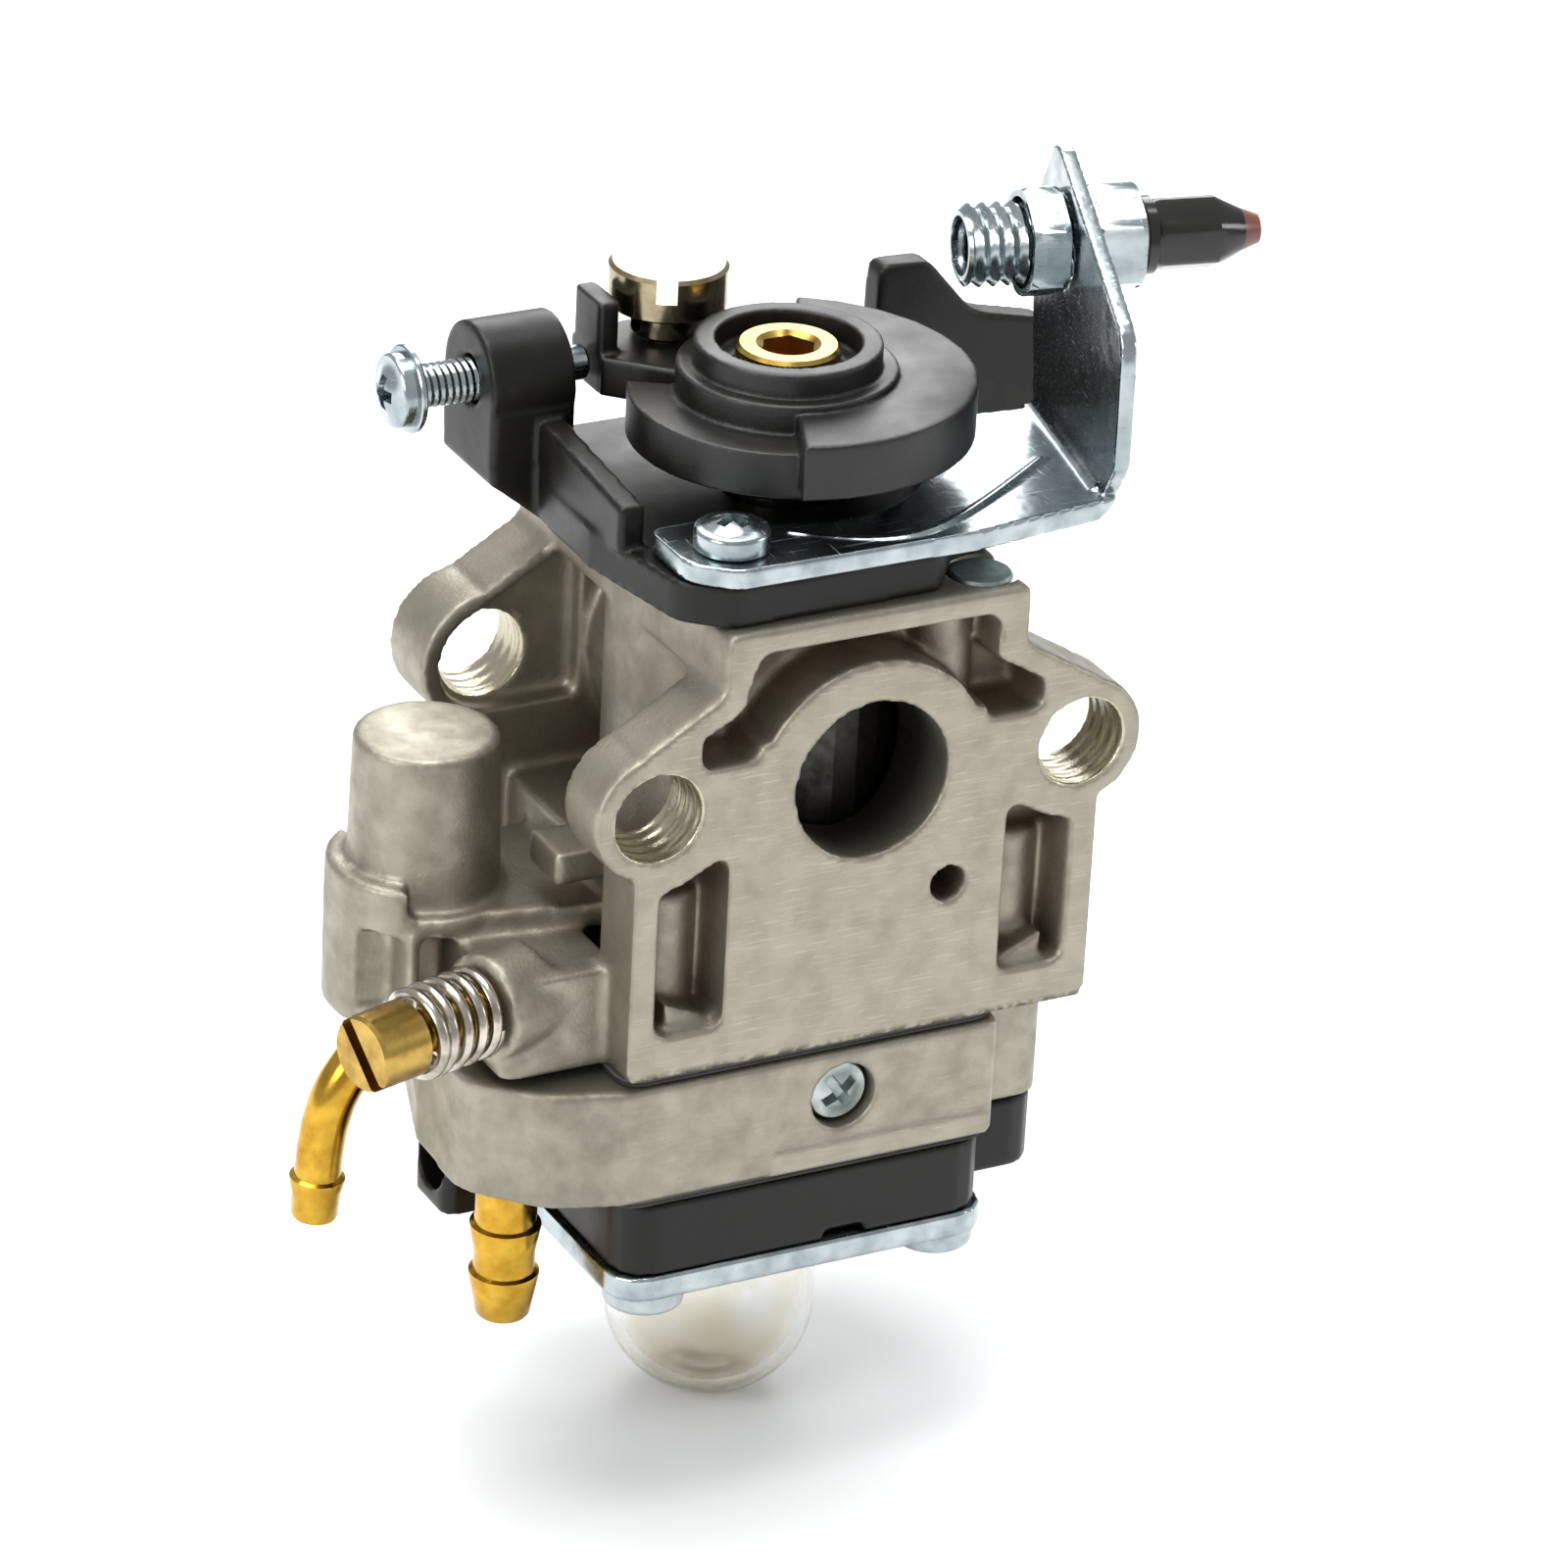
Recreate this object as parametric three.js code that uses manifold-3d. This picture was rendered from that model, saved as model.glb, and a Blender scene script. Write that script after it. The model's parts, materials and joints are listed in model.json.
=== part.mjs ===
// Rotary-valve diaphragm carburetor of a small two-stroke engine, in millimetres, +Z up.
// The origin is the centre of the bore on the engine flange. +Y runs from the engine flange
// to the air-cleaner flange, and the throttle barrel turns about a vertical axis.
import * as THREE from 'three';
import { mergeVertices } from 'three/addons/utils/BufferGeometryUtils.js';
import Module from 'manifold-3d';

const wasm = await Module();
wasm.setup();

// Driving dimensions.
const boltHalfSpacing = 15.5;
const boltHoleRadius = 3.1;
const boreRadius = 5.55;
const bodyLength = 31;
const flangeThickness = 5;
const bodyTop = 12.2;
const bodyHalfWidth = 17;
const topHalfWidth = 11.1;
const throttleY = 14.7;
const barrelRadius = 9.2;
const pocketRadius = 9.3;
const barrelFloor = -7.9;
const barrelTop = 6.4;
const idleAngle = 75;
const coverBase = 12.25;
const coverTop = 15;
const bracketBase = 15.05;
const bracketTop = 16.5;
const stackX = -3;
const jointBottom = -19.2;
const pumpTop = -19.85;
const pumpBottom = -28.3;
const purgeTop = -28.9;
const purgeBottom = -34.15;
const plateTop = -34.2;
const plateBottom = -36;
const bulbBottom = -52.4;
const bulbRadius = 7.2;
const bulbX = -2.4;
const screwXs = [-13.4, 8.4];
const screwYs = [3.4, 26.2];
const idleAxis = { y: 25, z: 21 };
const frontScrew = { x: -9.2, y: 3.9 };
const rearScrew = { x: 9.4, y: 22.8 };
const mixtureFace = new THREE.Vector3(-25, 5.7, -14.6);
const mixtureTurn = THREE.MathUtils.degToRad(16);
const tabPoint = new THREE.Vector3(20.4, throttleY - 0.6, 29.5);
const tabTurn = THREE.MathUtils.degToRad(-12);
const sideBoss = { x: -24, y: 17.1, top: 0.2 };
const armTop = -10.6;
const returnNipple = { x: -21, y: 9 };
const needleX = -8.5;
const leverPivot = { x: -6, y: 15.2, z: -26.3 };

const finishes = {
  dieCast: { color: 0xb9b2a6, roughness: 0.55, metalness: 0.85 },
  zinc: { color: 0xd5dde2, roughness: 0.22, metalness: 1 },
  nickel: { color: 0xe2dcc6, roughness: 0.18, metalness: 1 },
  brass: { color: 0xc9952f, roughness: 0.28, metalness: 1 },
  steel: { color: 0xa9adb0, roughness: 0.3, metalness: 1 },
  blackPlastic: { color: 0x1d1d1c, roughness: 0.45, metalness: 0 },
  blackRubber: { color: 0x17181a, roughness: 0.6, metalness: 0 },
  darkRubber: { color: 0x55524c, roughness: 0.6, metalness: 0 },
  gasket: { color: 0x3a3a38, roughness: 0.9, metalness: 0 },
  milky: { color: 0xdfdccd, roughness: 0.3, metalness: 0 },
};

const axisFrames = {
  x: new THREE.Matrix4().makeBasis(
    new THREE.Vector3(0, 1, 0), new THREE.Vector3(0, 0, 1), new THREE.Vector3(1, 0, 0)),
  y: new THREE.Matrix4().makeBasis(
    new THREE.Vector3(1, 0, 0), new THREE.Vector3(0, 0, 1), new THREE.Vector3(0, -1, 0)),
  z: new THREE.Matrix4(),
};

// A closed geometry becomes a solid with its faces pointing out.
function toSolid(geometry) {
  const plain = new THREE.BufferGeometry();
  plain.setAttribute('position', geometry.getAttribute('position'));
  if (geometry.index) plain.setIndex(geometry.index);
  const merged = mergeVertices(plain, 1e-4);
  const position = merged.getAttribute('position');
  const corner = [new THREE.Vector3(), new THREE.Vector3(), new THREE.Vector3()];
  const triangles = [];
  let volume = 0;
  for (let start = 0; start < merged.index.count; start += 3) {
    const ids = [0, 1, 2].map((step) => merged.index.getX(start + step));
    if (new Set(ids).size === 3) {
      ids.forEach((id, step) => corner[step].fromBufferAttribute(position, id));
      volume += corner[0].dot(corner[1].clone().cross(corner[2]));
      triangles.push(ids);
    }
  }
  const ordered = volume < 0 ? triangles.map(([a, b, c]) => [a, c, b]) : triangles;
  return new wasm.Manifold(new wasm.Mesh({
    numProp: 3,
    vertProperties: new Float32Array(position.array),
    triVerts: new Uint32Array(ordered.flat()),
  }));
}

function toGeometry(solid) {
  const mesh = solid.getMesh();
  const geometry = new THREE.BufferGeometry();
  geometry.setAttribute('position', new THREE.BufferAttribute(mesh.vertProperties, 3));
  geometry.setIndex(new THREE.BufferAttribute(mesh.triVerts, 1));
  geometry.computeVertexNormals();
  return geometry;
}

function joined(...solids) {
  return solids.reduce((whole, solid) => whole.add(solid));
}

function cut(whole, ...tools) {
  return tools.reduce((rest, tool) => rest.subtract(tool), whole);
}

// Corners are [u, v] or [u, v, radius]; a rounded corner becomes an arc of a few steps.
function rounded(corners, steps = 3) {
  const points = [];
  corners.forEach(([u, v, radius = 0], index) => {
    const corner = new THREE.Vector2(u, v);
    if (radius === 0) {
      points.push(corner);
      return;
    }
    const before = new THREE.Vector2(...corners.at(index - 1).slice(0, 2));
    const after = new THREE.Vector2(...corners[(index + 1) % corners.length].slice(0, 2));
    const toBefore = before.sub(corner).normalize();
    const toAfter = after.sub(corner).normalize();
    const half = Math.acos(toBefore.dot(toAfter)) / 2;
    const reach = radius / Math.tan(half);
    const middle = toBefore.clone().add(toAfter).normalize();
    const centre = corner.clone().addScaledVector(middle, radius / Math.sin(half));
    const from = corner.clone().addScaledVector(toBefore, reach).sub(centre).angle();
    const to = corner.clone().addScaledVector(toAfter, reach).sub(centre).angle();
    const sweep = Math.atan2(Math.sin(to - from), Math.cos(to - from));
    for (let step = 0; step <= steps; step += 1) {
      const angle = from + sweep * step / steps;
      const spoke = new THREE.Vector2(Math.cos(angle), Math.sin(angle));
      points.push(centre.clone().addScaledVector(spoke, radius));
    }
  });
  return points;
}

// An outline extruded along an axis from low to high. The outline is (X, Y) along z,
// (X, Z) along y and (Y, Z) along x.
function slab(corners, low, high, axis = 'z', steps = 3) {
  const shape = new THREE.Shape(rounded(corners, steps));
  const geometry = new THREE.ExtrudeGeometry(shape, { depth: high - low, bevelEnabled: false });
  geometry.applyMatrix4(axisFrames[axis]);
  const shift = { x: [low, 0, 0], y: [0, high, 0], z: [0, 0, low] }[axis];
  return toSolid(geometry.translate(...shift));
}

function box(x0, x1, y0, y1, z0, z1) {
  return slab([[x0, y0], [x1, y0], [x1, y1], [x0, y1]], z0, z1);
}

// A cylinder or cone between low and high along an axis, round (u, v) in the same order.
function rod(centre, radius, low, high, axis = 'z', sides = 20, highRadius = radius) {
  const height = high - low;
  const geometry = new THREE.CylinderGeometry(highRadius, radius, height, sides);
  geometry.rotateX(Math.PI / 2).translate(centre[0], centre[1], 0);
  if (axis === 'y') geometry.scale(1, 1, -1);
  geometry.applyMatrix4(axisFrames[axis]);
  const middle = (low + high) / 2;
  const shift = { x: [middle, 0, 0], y: [0, middle, 0], z: [0, 0, middle] }[axis];
  return toSolid(geometry.translate(...shift));
}

// A turned piece: [radius, height] points round the Z axis, from axis to axis or closed.
function turned(profile, sides = 24) {
  const points = profile.map(([radius, height]) => new THREE.Vector2(radius, height));
  return toSolid(new THREE.LatheGeometry(points, sides).rotateX(Math.PI / 2));
}

function ring(inner, outer, low, high, sides = 24) {
  return turned([[inner, low], [outer, low], [outer, high], [inner, high], [inner, low]], sides);
}

const group = new THREE.Group();

function place(name, solid, finish, parent = group) {
  const mesh = new THREE.Mesh(toGeometry(solid), new THREE.MeshStandardMaterial(finishes[finish]));
  mesh.name = name;
  parent.add(mesh);
}

// One flange plate with its two ears, seen along the bore, between two Y values.
function flange(low, high, earRadius) {
  const side = (sign) => [
    [sign * topHalfWidth, bodyTop, 0.8],
    [sign * topHalfWidth, 7.9, 1.2],
    [sign * 17.6, 4],
    [sign * bodyHalfWidth, -4.8],
    [sign * bodyHalfWidth, jointBottom, 0.7],
  ];
  const plate = slab([...side(1).reverse(), ...side(-1)], low, high, 'y');
  const ears = [-1, 1].map((sign) => (
    rod([sign * boltHalfSpacing, 0], earRadius, low, high, 'y', 24)));
  return joined(plate, ...ears);
}

// The cast-out pockets of the engine flange, with round columns left standing in them.
function flangePockets() {
  const depth = 4.6;
  const upper = cut(
    slab([[-8.6, 10.4, 1], [-9.6, 6.6, 0.8], [-12.6, 5, 0.5], [-12.4, 2.9, 0.8], [12.4, 3, 0.8],
      [12.5, 5, 0.8], [8.7, 7.2, 0.8], [9, 10.4, 1]], -1, depth, 'y'),
    rod([0, 0], 8.5, -2, depth + 1, 'y', 28),
    box(-8.4, 8.4, -2, depth + 1, -4, 4),
    rod([6.6, depth], 2.3, 0, bodyTop, 'z', 10));
  const sides = [-1, 1].map((sign) => cut(
    slab([[sign * 10.2, -3.9, 0.6], [sign * 10.2, -16, 0.5], [sign * 15, -16, 0.5],
      [sign * 15, -4.6, 0.6]], -1, depth, 'y'),
    rod([sign * boltHalfSpacing, 0], 5.6, -2, depth + 1, 'y', 20),
    rod([sign * 12.7, depth + 0.5], 2.4, -17, -7.2, 'z', 12)));
  return [upper, ...sides];
}

// The arm on the left: a round column under the upright boss, hollowed at the front between
// ribs, the deck that joins it to the body, and the block behind the mixture screw boss.
function sideArm() {
  const centre = [sideBoss.x, sideBoss.y];
  const column = rod(centre, 6.5, jointBottom, armTop, 'z', 28);
  const hollow = slab([[-33, 6], [-22, 6], [-22, 12.4], [-29.2, 14.6], [-33, 14.6]],
    jointBottom + 1.2, armTop - 1.3);
  const rib = box(-27.6, -26.8, 11, 14, jointBottom, armTop - 1);
  const deck = slab([[-24, 11], [-13, 9], [-13, 22], [-24, 23.5]], -12.4, armTop);
  const web = box(-24, -13, 12.4, 22, jointBottom, -12);
  const front = slab([[-24.4, 3.4, 1], [-16, 3.4], [-16, 13], [-24.4, 13]], jointBottom, -12.1);
  const upright = rod(centre, 5.15, armTop - 1, sideBoss.top, 'z', 24, 4.85);
  const lip = cut(ring(5.6, 6.5, armTop - 0.6, armTop + 2, 28).translate(...centre, 0),
    box(sideBoss.x - 3.4, -10, 5, 30, armTop - 2, armTop + 4));
  const pad = box(-18.2, -13, 9, 13.4, -8.7, -6.4);
  return joined(cut(column, hollow), rib, deck, web, front, upright, lip, pad);
}

// A solid drawn along its own Z axis, turned to the mixture screw's place.
function atMixtureScrew(solid) {
  const along = new THREE.Vector3(-Math.cos(mixtureTurn), -Math.sin(mixtureTurn), 0);
  const turn = new THREE.Quaternion().setFromUnitVectors(new THREE.Vector3(0, 0, 1), along);
  return toSolid(toGeometry(solid).applyQuaternion(turn).translate(...mixtureFace));
}

function carbBody() {
  const housing = rod([0, throttleY], 11.2, -12, bodyTop, 'z', 32);
  const topSlab = slab([[-topHalfWidth, 1], [topHalfWidth, 1], [topHalfWidth, 30],
    [-topHalfWidth, 30]], 7.4, bodyTop);
  const base = box(-14, 14, 1, bodyLength - 1, jointBottom, -8.4);
  const boreTube = rod([0, 0], 8.5, 1, bodyLength - 1, 'y', 28);
  const rear = flange(bodyLength - 5.5, bodyLength, 4.9);
  const solid = joined(
    cut(flange(0, flangeThickness, 4.5), ...flangePockets()),
    cut(joined(housing, topSlab, base, boreTube),
      rod([0, 0], 20, -1, 4.6, 'y', 8)),
    rear,
    sideArm(),
    atMixtureScrew(rod([0, 0], 3.65, -4, 0, 'z', 20)));
  const columns = [-1, 1].map((sign) => rod([sign * 12.7, 5.1], 2.4, -17, -7.2, 'z', 12));
  const boltHoles = [-1, 1].map((sign) => (
    rod([sign * boltHalfSpacing, 0], boltHoleRadius, -1, bodyLength + 1, 'y', 16)));
  const coverScrewHoles = screwXs.flatMap((x) => screwYs.map((y) => (
    rod([x, y], 1.6, jointBottom - 1, -16.6, 'z', 8))));
  return cut(
    joined(solid, ...columns),
    rod([0, 0], boreRadius, -1, bodyLength + 1, 'y', 28),
    rod([0, throttleY], pocketRadius, -8, bodyTop + 1, 'z', 32),
    ...boltHoles,
    ...coverScrewHoles,
    rod([frontScrew.x, frontScrew.y], 1.4, 10.7, bodyTop + 1, 'z', 8),
    rod([rearScrew.x, rearScrew.y], 1.4, 8, bodyTop + 1, 'z', 8),
    rod([9, 3.4], 2.4, bodyTop - 1.6, bodyTop + 1, 'z', 14),
    rod([6.1, -8.7], 1.3, -1, 8, 'y', 10),
    rod([0, throttleY], 1.62, jointBottom - 1, -7, 'z', 10),
    rod([-8.5, throttleY], 4.2, jointBottom - 1, -17.6, 'z', 12),
    atMixtureScrew(rod([0, 0], 1.75, -7.5, 1, 'z', 10)));
}

function bodyPlug() {
  return rod([9, 3.4], 2.1, bodyTop - 1.5, bodyTop - 0.15, 'z', 14);
}

// Brass nozzle standing in the middle of the barrel's bore, with the needle's hole in it.
function mainNozzle() {
  const tube = rod([0, 0], 1.5, -17.5, -3.4, 'z', 10);
  return cut(tube, rod([0, 0], 1.05, -16.5, -3, 'z', 8)).translate(0, throttleY, 0);
}

function throttleBarrel() {
  const drum = rod([0, 0], barrelRadius, barrelFloor, barrelTop, 'z', 32);
  const stem = rod([0, 0], 3.8, barrelTop - 0.5, 19.4, 'z', 20);
  const bore = toSolid(toGeometry(rod([0, 0], boreRadius, -12, 12, 'y', 24))
    .rotateZ(THREE.MathUtils.degToRad(idleAngle)));
  return cut(joined(drum, stem), bore,
    rod([0, 0], 2.1, -9, -4, 'z', 10),
    rod([0, 0], 1, 0, 20, 'z', 8));
}

// Thin steel washer over the barrel that lifts with it; the return spring stands on it.
function thrustRing() {
  return ring(4.2, 8.6, barrelTop + 0.3, barrelTop + 0.7, 20);
}

// The spring between the thrust ring and the cover, as the sleeve that its coils fill.
function returnSpring() {
  return ring(5.6, 7.6, barrelTop + 0.75, coverBase - 0.1, 16);
}

function leverSector(radius, from, sweep, low, high) {
  const points = [[0, 0]];
  const steps = Math.ceil(sweep / 14);
  for (let step = 0; step <= steps; step += 1) {
    const angle = THREE.MathUtils.degToRad(from + sweep * step / steps);
    points.push([radius * Math.cos(angle), radius * Math.sin(angle)]);
  }
  return slab(points, low, high);
}

const swivelAt = new THREE.Vector2(-3.5, 10.6);

// Black cable lever: two sectors of unlike radius, the collar, the swivel arm and stop tab.
function throttleLever() {
  const hub = rod([0, 0], 8, 17.3, 19.4, 'z', 20);
  const wide = leverSector(12.5, -112, 172, 19.3, 23.1);
  const narrow = leverSector(10.4, 150, 100, 18.5, 21.6);
  const middle = joined(rod([0, 0], 6.2, 19.3, 25.3, 'z', 24), rod([0, 0], 7.3, 19.3, 23.6, 'z', 24));
  const arm = slab([[-9.4, 8.2, 0.4], [-4.2, 3], [6, 3], [3.6, 9], [0, 14.4, 1.5],
    [-9.4, 12.9, 0.4]], 19.3, 22);
  const tab = slab([[-9.4, 8.6, 0.4], [-7.9, 8.6, 0.4], [-7.9, 12.6, 0.4], [-9.4, 12.6, 0.4]],
    19.3, 25.6);
  return cut(joined(hub, wide, narrow, middle, arm, tab),
    ring(3.5, 4.8, 23.6, 26, 20),
    rod([0, 0], 3.6, 20.2, 26, 'z', 20),
    rod([0, 0], 4.05, 17, 19.6, 'z', 20),
    rod([swivelAt.x, swivelAt.y], 1.65, 19, 23, 'z', 10));
}

function needleAdjuster() {
  return cut(rod([0, 0], 3.45, 20.25, 25, 'z', 20), rod([0, 0], 1.8, 22.4, 26, 'z', 6));
}

function jetNeedle() {
  return rod([0, 0], 0.7, -8, 19, 'z', 8, 0.85);
}

// Slotted swivel that takes the cable's end: head, neck with cross hole, and lower flange.
function cableSwivel() {
  const pin = turned([[0, 18.6], [1.5, 18.6], [1.5, 22.2], [2.4, 22.3], [2.4, 24.2], [4, 24.2],
    [4, 27.2], [0, 27.2]], 16);
  const slot = box(-0.7, 0.7, -5, 5, 25.6, 28).rotate([0, 0, -28]);
  return cut(pin, slot, rod([0, 23.2], 0.7, -4, 4, 'x', 6))
    .translate(swivelAt.x, swivelAt.y, 0);
}

const coverOutline = [[-14.4, 28.2, 1.5], [-15, 12.6, 2], [-13.3, 3, 2.6], [-10.4, 0.8, 2.6],
  [4.8, 1.2, 1], [7.4, 4.8, 1], [11.5, 6.2, 1.2], [12.2, 28.2, 1.5]];

function throttleCover() {
  const plate = slab(coverOutline, coverBase, coverTop);
  const wall = slab([[8.9, coverTop - 0.2], [8.9, 17.9], [22, 19.2], [22, coverTop - 0.2]],
    -14.7, -12.9, 'x');
  const boss = joined(
    rod([idleAxis.y, idleAxis.z], 3.9, -18, -12, 'x', 20),
    slab([[21.2, coverTop - 0.2], [21.1, idleAxis.z], [28.9, idleAxis.z], [28.8, coverTop - 0.2]],
      -18, -12, 'x'));
  const gusset = slab([[-18, 16], [-18, 15], [-14.6, coverBase], [-11, coverBase], [-11, 16]],
    21, 28.2, 'y');
  const backWall = slab([[12.4, 8.6], [26.2, 8.6, 1], [26.2, 18.2, 1], [20.2, 19.6, 3],
    [16.6, 23.8, 1.5], [12.8, 24, 0.8]], 26, 28, 'y');
  const backFoot = slab([[9, 25], [13.4, 25], [13.4, 28], [9, 28]], coverBase, coverTop);
  return cut(joined(plate, wall, boss, gusset, backWall, backFoot),
    rod([0, throttleY], 4.1, 11, 16, 'z', 20),
    rod([idleAxis.y, idleAxis.z], 1.7, -19, -11, 'x', 10),
    rod([frontScrew.x, frontScrew.y], 1.4, 11, 16, 'z', 8),
    rod([rearScrew.x, rearScrew.y], 1.4, 11, 16, 'z', 8));
}

// Pan-head screw along +Z: the head's underside is at 0, the shank reaches down from it.
function panScrew(headRadius, headHeight, shankRadius, length) {
  const crown = headHeight * 0.45;
  return turned([[0, -length], [shankRadius, -length], [shankRadius, 0], [headRadius, 0],
    [headRadius, headHeight - crown], [headRadius * 0.75, headHeight - crown * 0.3],
    [0, headHeight]], 12);
}

function turnedTo(solid, direction) {
  const turn = new THREE.Quaternion().setFromUnitVectors(new THREE.Vector3(0, 0, 1), direction);
  return toSolid(toGeometry(solid).applyQuaternion(turn));
}

// The idle screw points along +X, with its tip just short of the lever's stop tab.
function idleScrew() {
  const screw = panScrew(2.75, 2.1, 1.5, 12.5);
  return turnedTo(screw, new THREE.Vector3(-1, 0, 0)).translate(-22.2, idleAxis.y, idleAxis.z);
}

// The bracket's foot under the lever and its upright tab, one bent sheet.
function cableBracket() {
  const foot = slab([[-13, 8.4, 1], [-13, 2.8, 2.4], [-10.4, 0.4, 2.4], [7, 0.3, 3],
    [18.2, 1.8], [21.2, 16.6], [14, 17.4, 2], [12.8, 25.6, 1.5], [6, 25.6, 1.5], [4, 12],
    [-6, 8.4]], bracketBase, bracketTop);
  const tabSheet = slab([[-11, bracketBase], [3.4, bracketBase], [5.4, 24, 3], [5.6, 30.5, 2.5],
    [2.6, 35.8, 1.6], [-14, 28.2, 2.5], [-14.1, 19.2, 1.5]], -0.75, 0.35, 'x');
  const onTab = (solid) => toSolid(toGeometry(solid).rotateZ(tabTurn)
    .translate(tabPoint.x, tabPoint.y, 0));
  return cut(joined(foot, onTab(tabSheet)),
    onTab(rod([0, tabPoint.z], 3.1, -4, 4, 'x', 16)),
    rod([0, throttleY], 9.4, bracketBase - 1, bracketTop + 1, 'z', 28),
    rod([frontScrew.x, frontScrew.y], 1.5, bracketBase - 1, bracketTop + 1, 'z', 10),
    rod([rearScrew.x, rearScrew.y], 1.5, bracketBase - 1, bracketTop + 1, 'z', 10));
}

// The adjuster's own parts, drawn along +Z with 0 in the middle of the bracket's tab.
function cableAdjuster() {
  return ring(1.9, 2.8, -7.7, 4.3, 16);
}

function hexNut(low, high) {
  return cut(rod([0, 0], 3.9, low, high, 'z', 6), rod([0, 0], 3.05, low - 1, high + 1, 'z', 16));
}

function cableBoot() {
  return cut(turned([[0, 4.5], [2.5, 4.5], [2.5, 9.6], [1, 12.8], [0, 12.8]], 14),
    rod([0, 0], 0.6, 4, 13, 'z', 8));
}

function mixtureScrew() {
  const needle = turned([[0, -7], [1.5, -4.5], [1.5, 6.2], [2.6, 6.2], [2.6, 10.2], [0, 10.2]], 16);
  return cut(needle, box(-0.4, 0.4, -4, 4, 9.2, 11));
}

function mixtureSpring() {
  return ring(1.9, 3.15, 0.3, 5.9, 16);
}

const stackOutline = [[-16.8, 0.6, 1.5], [10.8, 0.6, 1.5], [10.8, 30.4, 1.5], [-16.8, 30.4, 1.5]];

// A thin gasket or diaphragm of the lower stack, with its screw holes.
function sheet(low, high, windowRadius) {
  const holes = screwXs.flatMap((x) => screwYs.map((y) => (
    rod([x, y], 1.65, low - 1, high + 1, 'z', 8))));
  const window = windowRadius
    ? [rod([stackX, throttleY], windowRadius, low - 1, high + 1, 'z', 16)]
    : [];
  return cut(slab(stackOutline, low, high), ...holes, ...window);
}

function pumpBody() {
  const block = slab([[-17, 0.2, 1.2], [10.9, 0.2, 0.9], [11.3, 3.6], [16.6, 3.9, 1.6],
    [16.6, 27, 2], [11, 30.7, 2], [-17, 30.7, 2], [-18.6, 24.6, 1], [-22.8, 21.6, 2],
    [-25.6, 13.6, 3], [-26, 6.2, 4], [-21.6, 1.7, 3]], pumpBottom, pumpTop);
  const chamberFloor = -25;
  const chamber = rod([stackX, throttleY], 10.4, pumpBottom - 1, chamberFloor, 'z', 20);
  const posts = [11.4, 17.6].map((y) => box(-7.2, -4.8, y, y + 1.4, -27.4, chamberFloor + 0.5));
  const screwHoles = screwXs.flatMap((x) => screwYs.map((y) => (
    rod([x, y], 1.65, pumpBottom - 1, pumpTop + 1, 'z', 8))));
  return cut(joined(cut(block, chamber), ...posts),
    rod([leverPivot.x, leverPivot.z], 0.65, 11, 19.4, 'y', 10),
    rod([needleX, leverPivot.y], 1.45, chamberFloor - 1, pumpTop + 1, 'z', 10),
    rod([stackX + 1, leverPivot.y], 1.6, chamberFloor - 1, -22.6, 'z', 10),
    rod([-16.6, 17.6], 2.9, -21.4, pumpTop + 1, 'z', 12),
    rod([-0.7, -23.3], 2.35, -1, 3.4, 'y', 12),
    rod([returnNipple.x, returnNipple.y], 2.35, pumpBottom - 1, -25.2, 'z', 12),
    toSolid(toGeometry(rod([0, 0], 1.95, 0, 7, 'z', 12))
      .applyQuaternion(inletTurn).translate(...inletRoot)),
    ...screwHoles);
}

const inletRoot = new THREE.Vector3(-20.8, 20.4, -21.7);
const inletDirection = new THREE.Vector3(-0.88, 0, -0.47).normalize();
const inletTurn = new THREE.Quaternion()
  .setFromUnitVectors(new THREE.Vector3(0, 0, 1), inletDirection);

// The bent inlet pipe: out of the pump body's side, then down to its barbed end.
function inletNipple() {
  const path = new THREE.CatmullRomCurve3([
    inletRoot.clone().addScaledVector(inletDirection, 0.6),
    inletRoot.clone().addScaledVector(inletDirection, 5.4),
    new THREE.Vector3(-28.1, 20.5, -27.2),
    new THREE.Vector3(-29.2, 20.6, -31),
    new THREE.Vector3(-29.6, 20.7, -36.8),
  ]);
  const circle = (radius, sides) => Array.from({ length: sides }, (_, side) => (
    new THREE.Vector2(radius, 0).rotateAround(new THREE.Vector2(), Math.PI * 2 * side / sides)));
  const section = new THREE.Shape(circle(1.65, 10));
  section.holes.push(new THREE.Path(circle(0.95, 6)));
  const pipe = toSolid(new THREE.ExtrudeGeometry(section, {
    extrudePath: path, steps: 12, bevelEnabled: false,
  }));
  const barb = cut(rod([0, 0], 1.7, -35.6, -34.1, 'z', 10, 2.05),
    rod([0, 0], 1.4, -39, -33, 'z', 8)).translate(-29.5, 20.66, 0);
  return joined(pipe, barb);
}

function straightNipple() {
  const profile = [[1.2, -26], [2.1, -26], [2.1, -32.9], [2.43, -33.1], [2.08, -35], [2.08, -36.5],
    [2.4, -36.7], [2.05, -38.6], [1.8, -39.9], [1.2, -39.9], [1.2, -26]];
  return turned(profile, 14).translate(returnNipple.x, returnNipple.y, 0);
}

function pumpPlugScrew() {
  const screw = panScrew(2.15, 1.4, 1.2, 0.8);
  return turnedTo(screw, new THREE.Vector3(0, -1, 0)).translate(-0.7, 2.2, -23.3);
}

function inletScreen() {
  return rod([-16.6, 17.6], 2.6, -20.9, -20.3, 'z', 12);
}

// The metering lever rocks on its pin between the inlet needle and the diaphragm.
function meteringLever() {
  const strip = box(-9.8, -1.4, 14, 16.4, -26.6, -26);
  const barrel = rod([leverPivot.x, leverPivot.z], 1.15, 13.2, 17.2, 'y', 14);
  return cut(joined(strip, barrel), rod([leverPivot.x, leverPivot.z], 0.67, 12, 19, 'y', 10));
}

function leverPin() {
  return rod([leverPivot.x, leverPivot.z], 0.6, 11.6, 18.8, 'y', 10);
}

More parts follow.
